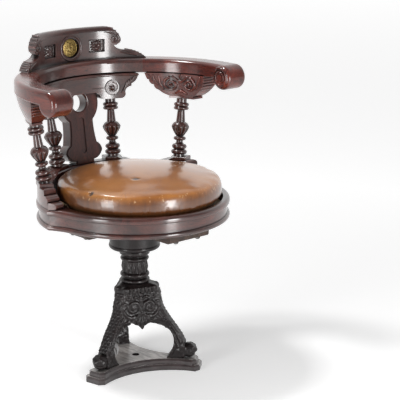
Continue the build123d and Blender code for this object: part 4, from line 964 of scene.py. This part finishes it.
def medallion_relief():
    """Generic rosette of rings and petals on the gilt disc."""
    face_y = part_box("medallion")[0][1] + medallion_sunk * mm

    def place(across, rise):
        return np.array([across * mm, face_y, (rise + panel_level) * mm]), np.array([0, -1.0, 0])

    strokes = [bead((0, 0), 3.4)]
    for index in range(8):
        turn = math.radians(45 * index)
        ahead = np.array([math.cos(turn), math.sin(turn)])
        strokes.append(stroke([ahead * 5, ahead * 9, ahead * 13], [1, 2.6, 1]))
        between = np.array([math.cos(turn + half_petal), math.sin(turn + half_petal)])
        strokes.append(bead(between * 14.5, 1.9))
        strokes.append(stroke([between * 5, between * 10.5], [0.8, 1.4]))
    tubes("medallion_rosette", strokes, place, "seat", materials["gilt"], flat=0.9, sides=8)


tripod_piece()
column_piece()
flange_bead()
cushion_piece()
spindle_lobes()
bracket_carving()
bracket_reeds()
arm_volutes()
apron_carving()
crest_carving()
crest_reeds()
panel_rosettes()
medallion_relief()


# Camera, floor and light
white = (1, 1, 1, 1)
room_light = 0.2
front_tone = (0.32, 0.32, 0.33, 1)
room_turn = (0.02, 0.4)

# Glow of the floor near the chair, further off and at its edge, and how far out the first two lie
floor_reach = 8.0
floor_lift = (0.37, 0.65, 0.82)
lift_shares = (0.07, 0.24)
lamps = {
    "key": {"place": (-0.68, 0.68, 2.6), "target": (0, 0, 0.45), "size": (0.45, 0.45), "power": 38},
    "front strip": {"place": (0.05, -1.6, 0.5), "target": (0.05, 0, 0.5), "size": (0.34, 0.9), "power": 17},
    "side strip": {"place": (-1.85, -0.3, 0.6), "target": (0, 0, 0.6), "size": (0.5, 1.1), "power": 18},
}


def build_camera():
    camera = bpy.data.objects.new("camera", bpy.data.cameras.new("camera"))
    camera.location = camera_place
    camera.rotation_euler = camera_forward.to_track_quat("-Z", "Y").to_euler()
    camera.data.sensor_width = 36
    camera.data.lens = camera_lens
    camera.data.clip_end = 50
    bpy.context.collection.objects.link(camera)
    bpy.context.scene.camera = camera


def build_floor():
    """Pale floor that keeps the shadow, lifted to the backdrop's white for the camera and reflections."""
    bpy.ops.mesh.primitive_plane_add(size=2 * floor_reach)
    floor = bpy.context.object
    floor.name = "floor"
    surface = Graph("pale floor")
    surface.set(Base_Color=(0.8, 0.8, 0.8, 1), Roughness=0.8, Specular_IOR_Level=0.1)
    away = surface.add("VectorMath", {"operation": "LENGTH"}, Vector=surface.place).outputs["Value"]
    share = surface.maths("DIVIDE", away, floor_reach)
    near, middle, far = floor_lift
    start, bend = lift_shares
    lift = surface.level(share, (start, near), (bend, middle))
    lift = surface.maths("ADD", lift, surface.level(share, (bend, 0.0), (1.0, far - middle)))
    path = surface.add("LightPath").outputs
    seen = surface.maths("MAXIMUM", path["Is Camera Ray"], path["Is Glossy Ray"])
    seen = surface.maths("MAXIMUM", seen, path["Is Transmission Ray"])
    surface.set(Emission_Color=white, Emission_Strength=surface.maths("MULTIPLY", seen, lift))
    paint(floor, surface.material)


def build_world():
    """Even room light, a white backdrop behind the chair and a darker room in front for reflections."""
    world = bpy.data.worlds.new("studio")
    bpy.context.scene.world = world
    world.use_nodes = True
    tree = world.node_tree
    add, link = tree.nodes.new, tree.links.new
    light = tree.nodes["Background"]
    light.inputs["Color"].default_value = white
    light.inputs["Strength"].default_value = room_light
    path = add("ShaderNodeLightPath")
    way = add("ShaderNodeVectorMath")
    way.operation = "DOT_PRODUCT"
    link(add("ShaderNodeTexCoord").outputs["Generated"], way.inputs[0])
    way.inputs[1].default_value = Vector((camera_forward.x, camera_forward.y, 0)).normalized()
    room = add("ShaderNodeValToRGB")
    front, back = room.color_ramp.elements
    front.position, back.position = room_turn
    front.color = front_tone
    link(way.outputs["Value"], room.inputs["Fac"])
    seen = add("ShaderNodeBackground")
    seen.inputs["Color"].default_value = white
    mirrored = add("ShaderNodeBackground")
    link(room.outputs["Color"], mirrored.inputs["Color"])
    first, second, third = (add("ShaderNodeMixShader") for _ in range(3))
    for mix, ray, under, over in (
        (first, "Is Glossy Ray", light, mirrored),
        (second, "Is Transmission Ray", first, mirrored),
        (third, "Is Camera Ray", second, seen),
    ):
        link(path.outputs[ray], mix.inputs["Fac"])
        link(under.outputs[0], mix.inputs[1])
        link(over.outputs[0], mix.inputs[2])
    link(third.outputs["Shader"], tree.nodes["World Output"].inputs["Surface"])


def build_lamps():
    for name, lamp in lamps.items():
        light = bpy.data.lights.new(name, "AREA")
        light.shape = "RECTANGLE"
        light.size, light.size_y = lamp["size"]
        light.energy = lamp["power"]
        piece = bpy.data.objects.new(name, light)
        piece.location = lamp["place"]
        piece.rotation_euler = (Vector(lamp["target"]) - piece.location).to_track_quat("-Z", "Y").to_euler()
        bpy.context.collection.objects.link(piece)


build_camera()
build_floor()
build_world()
build_lamps()
bpy.context.scene.view_settings.view_transform = "Standard"
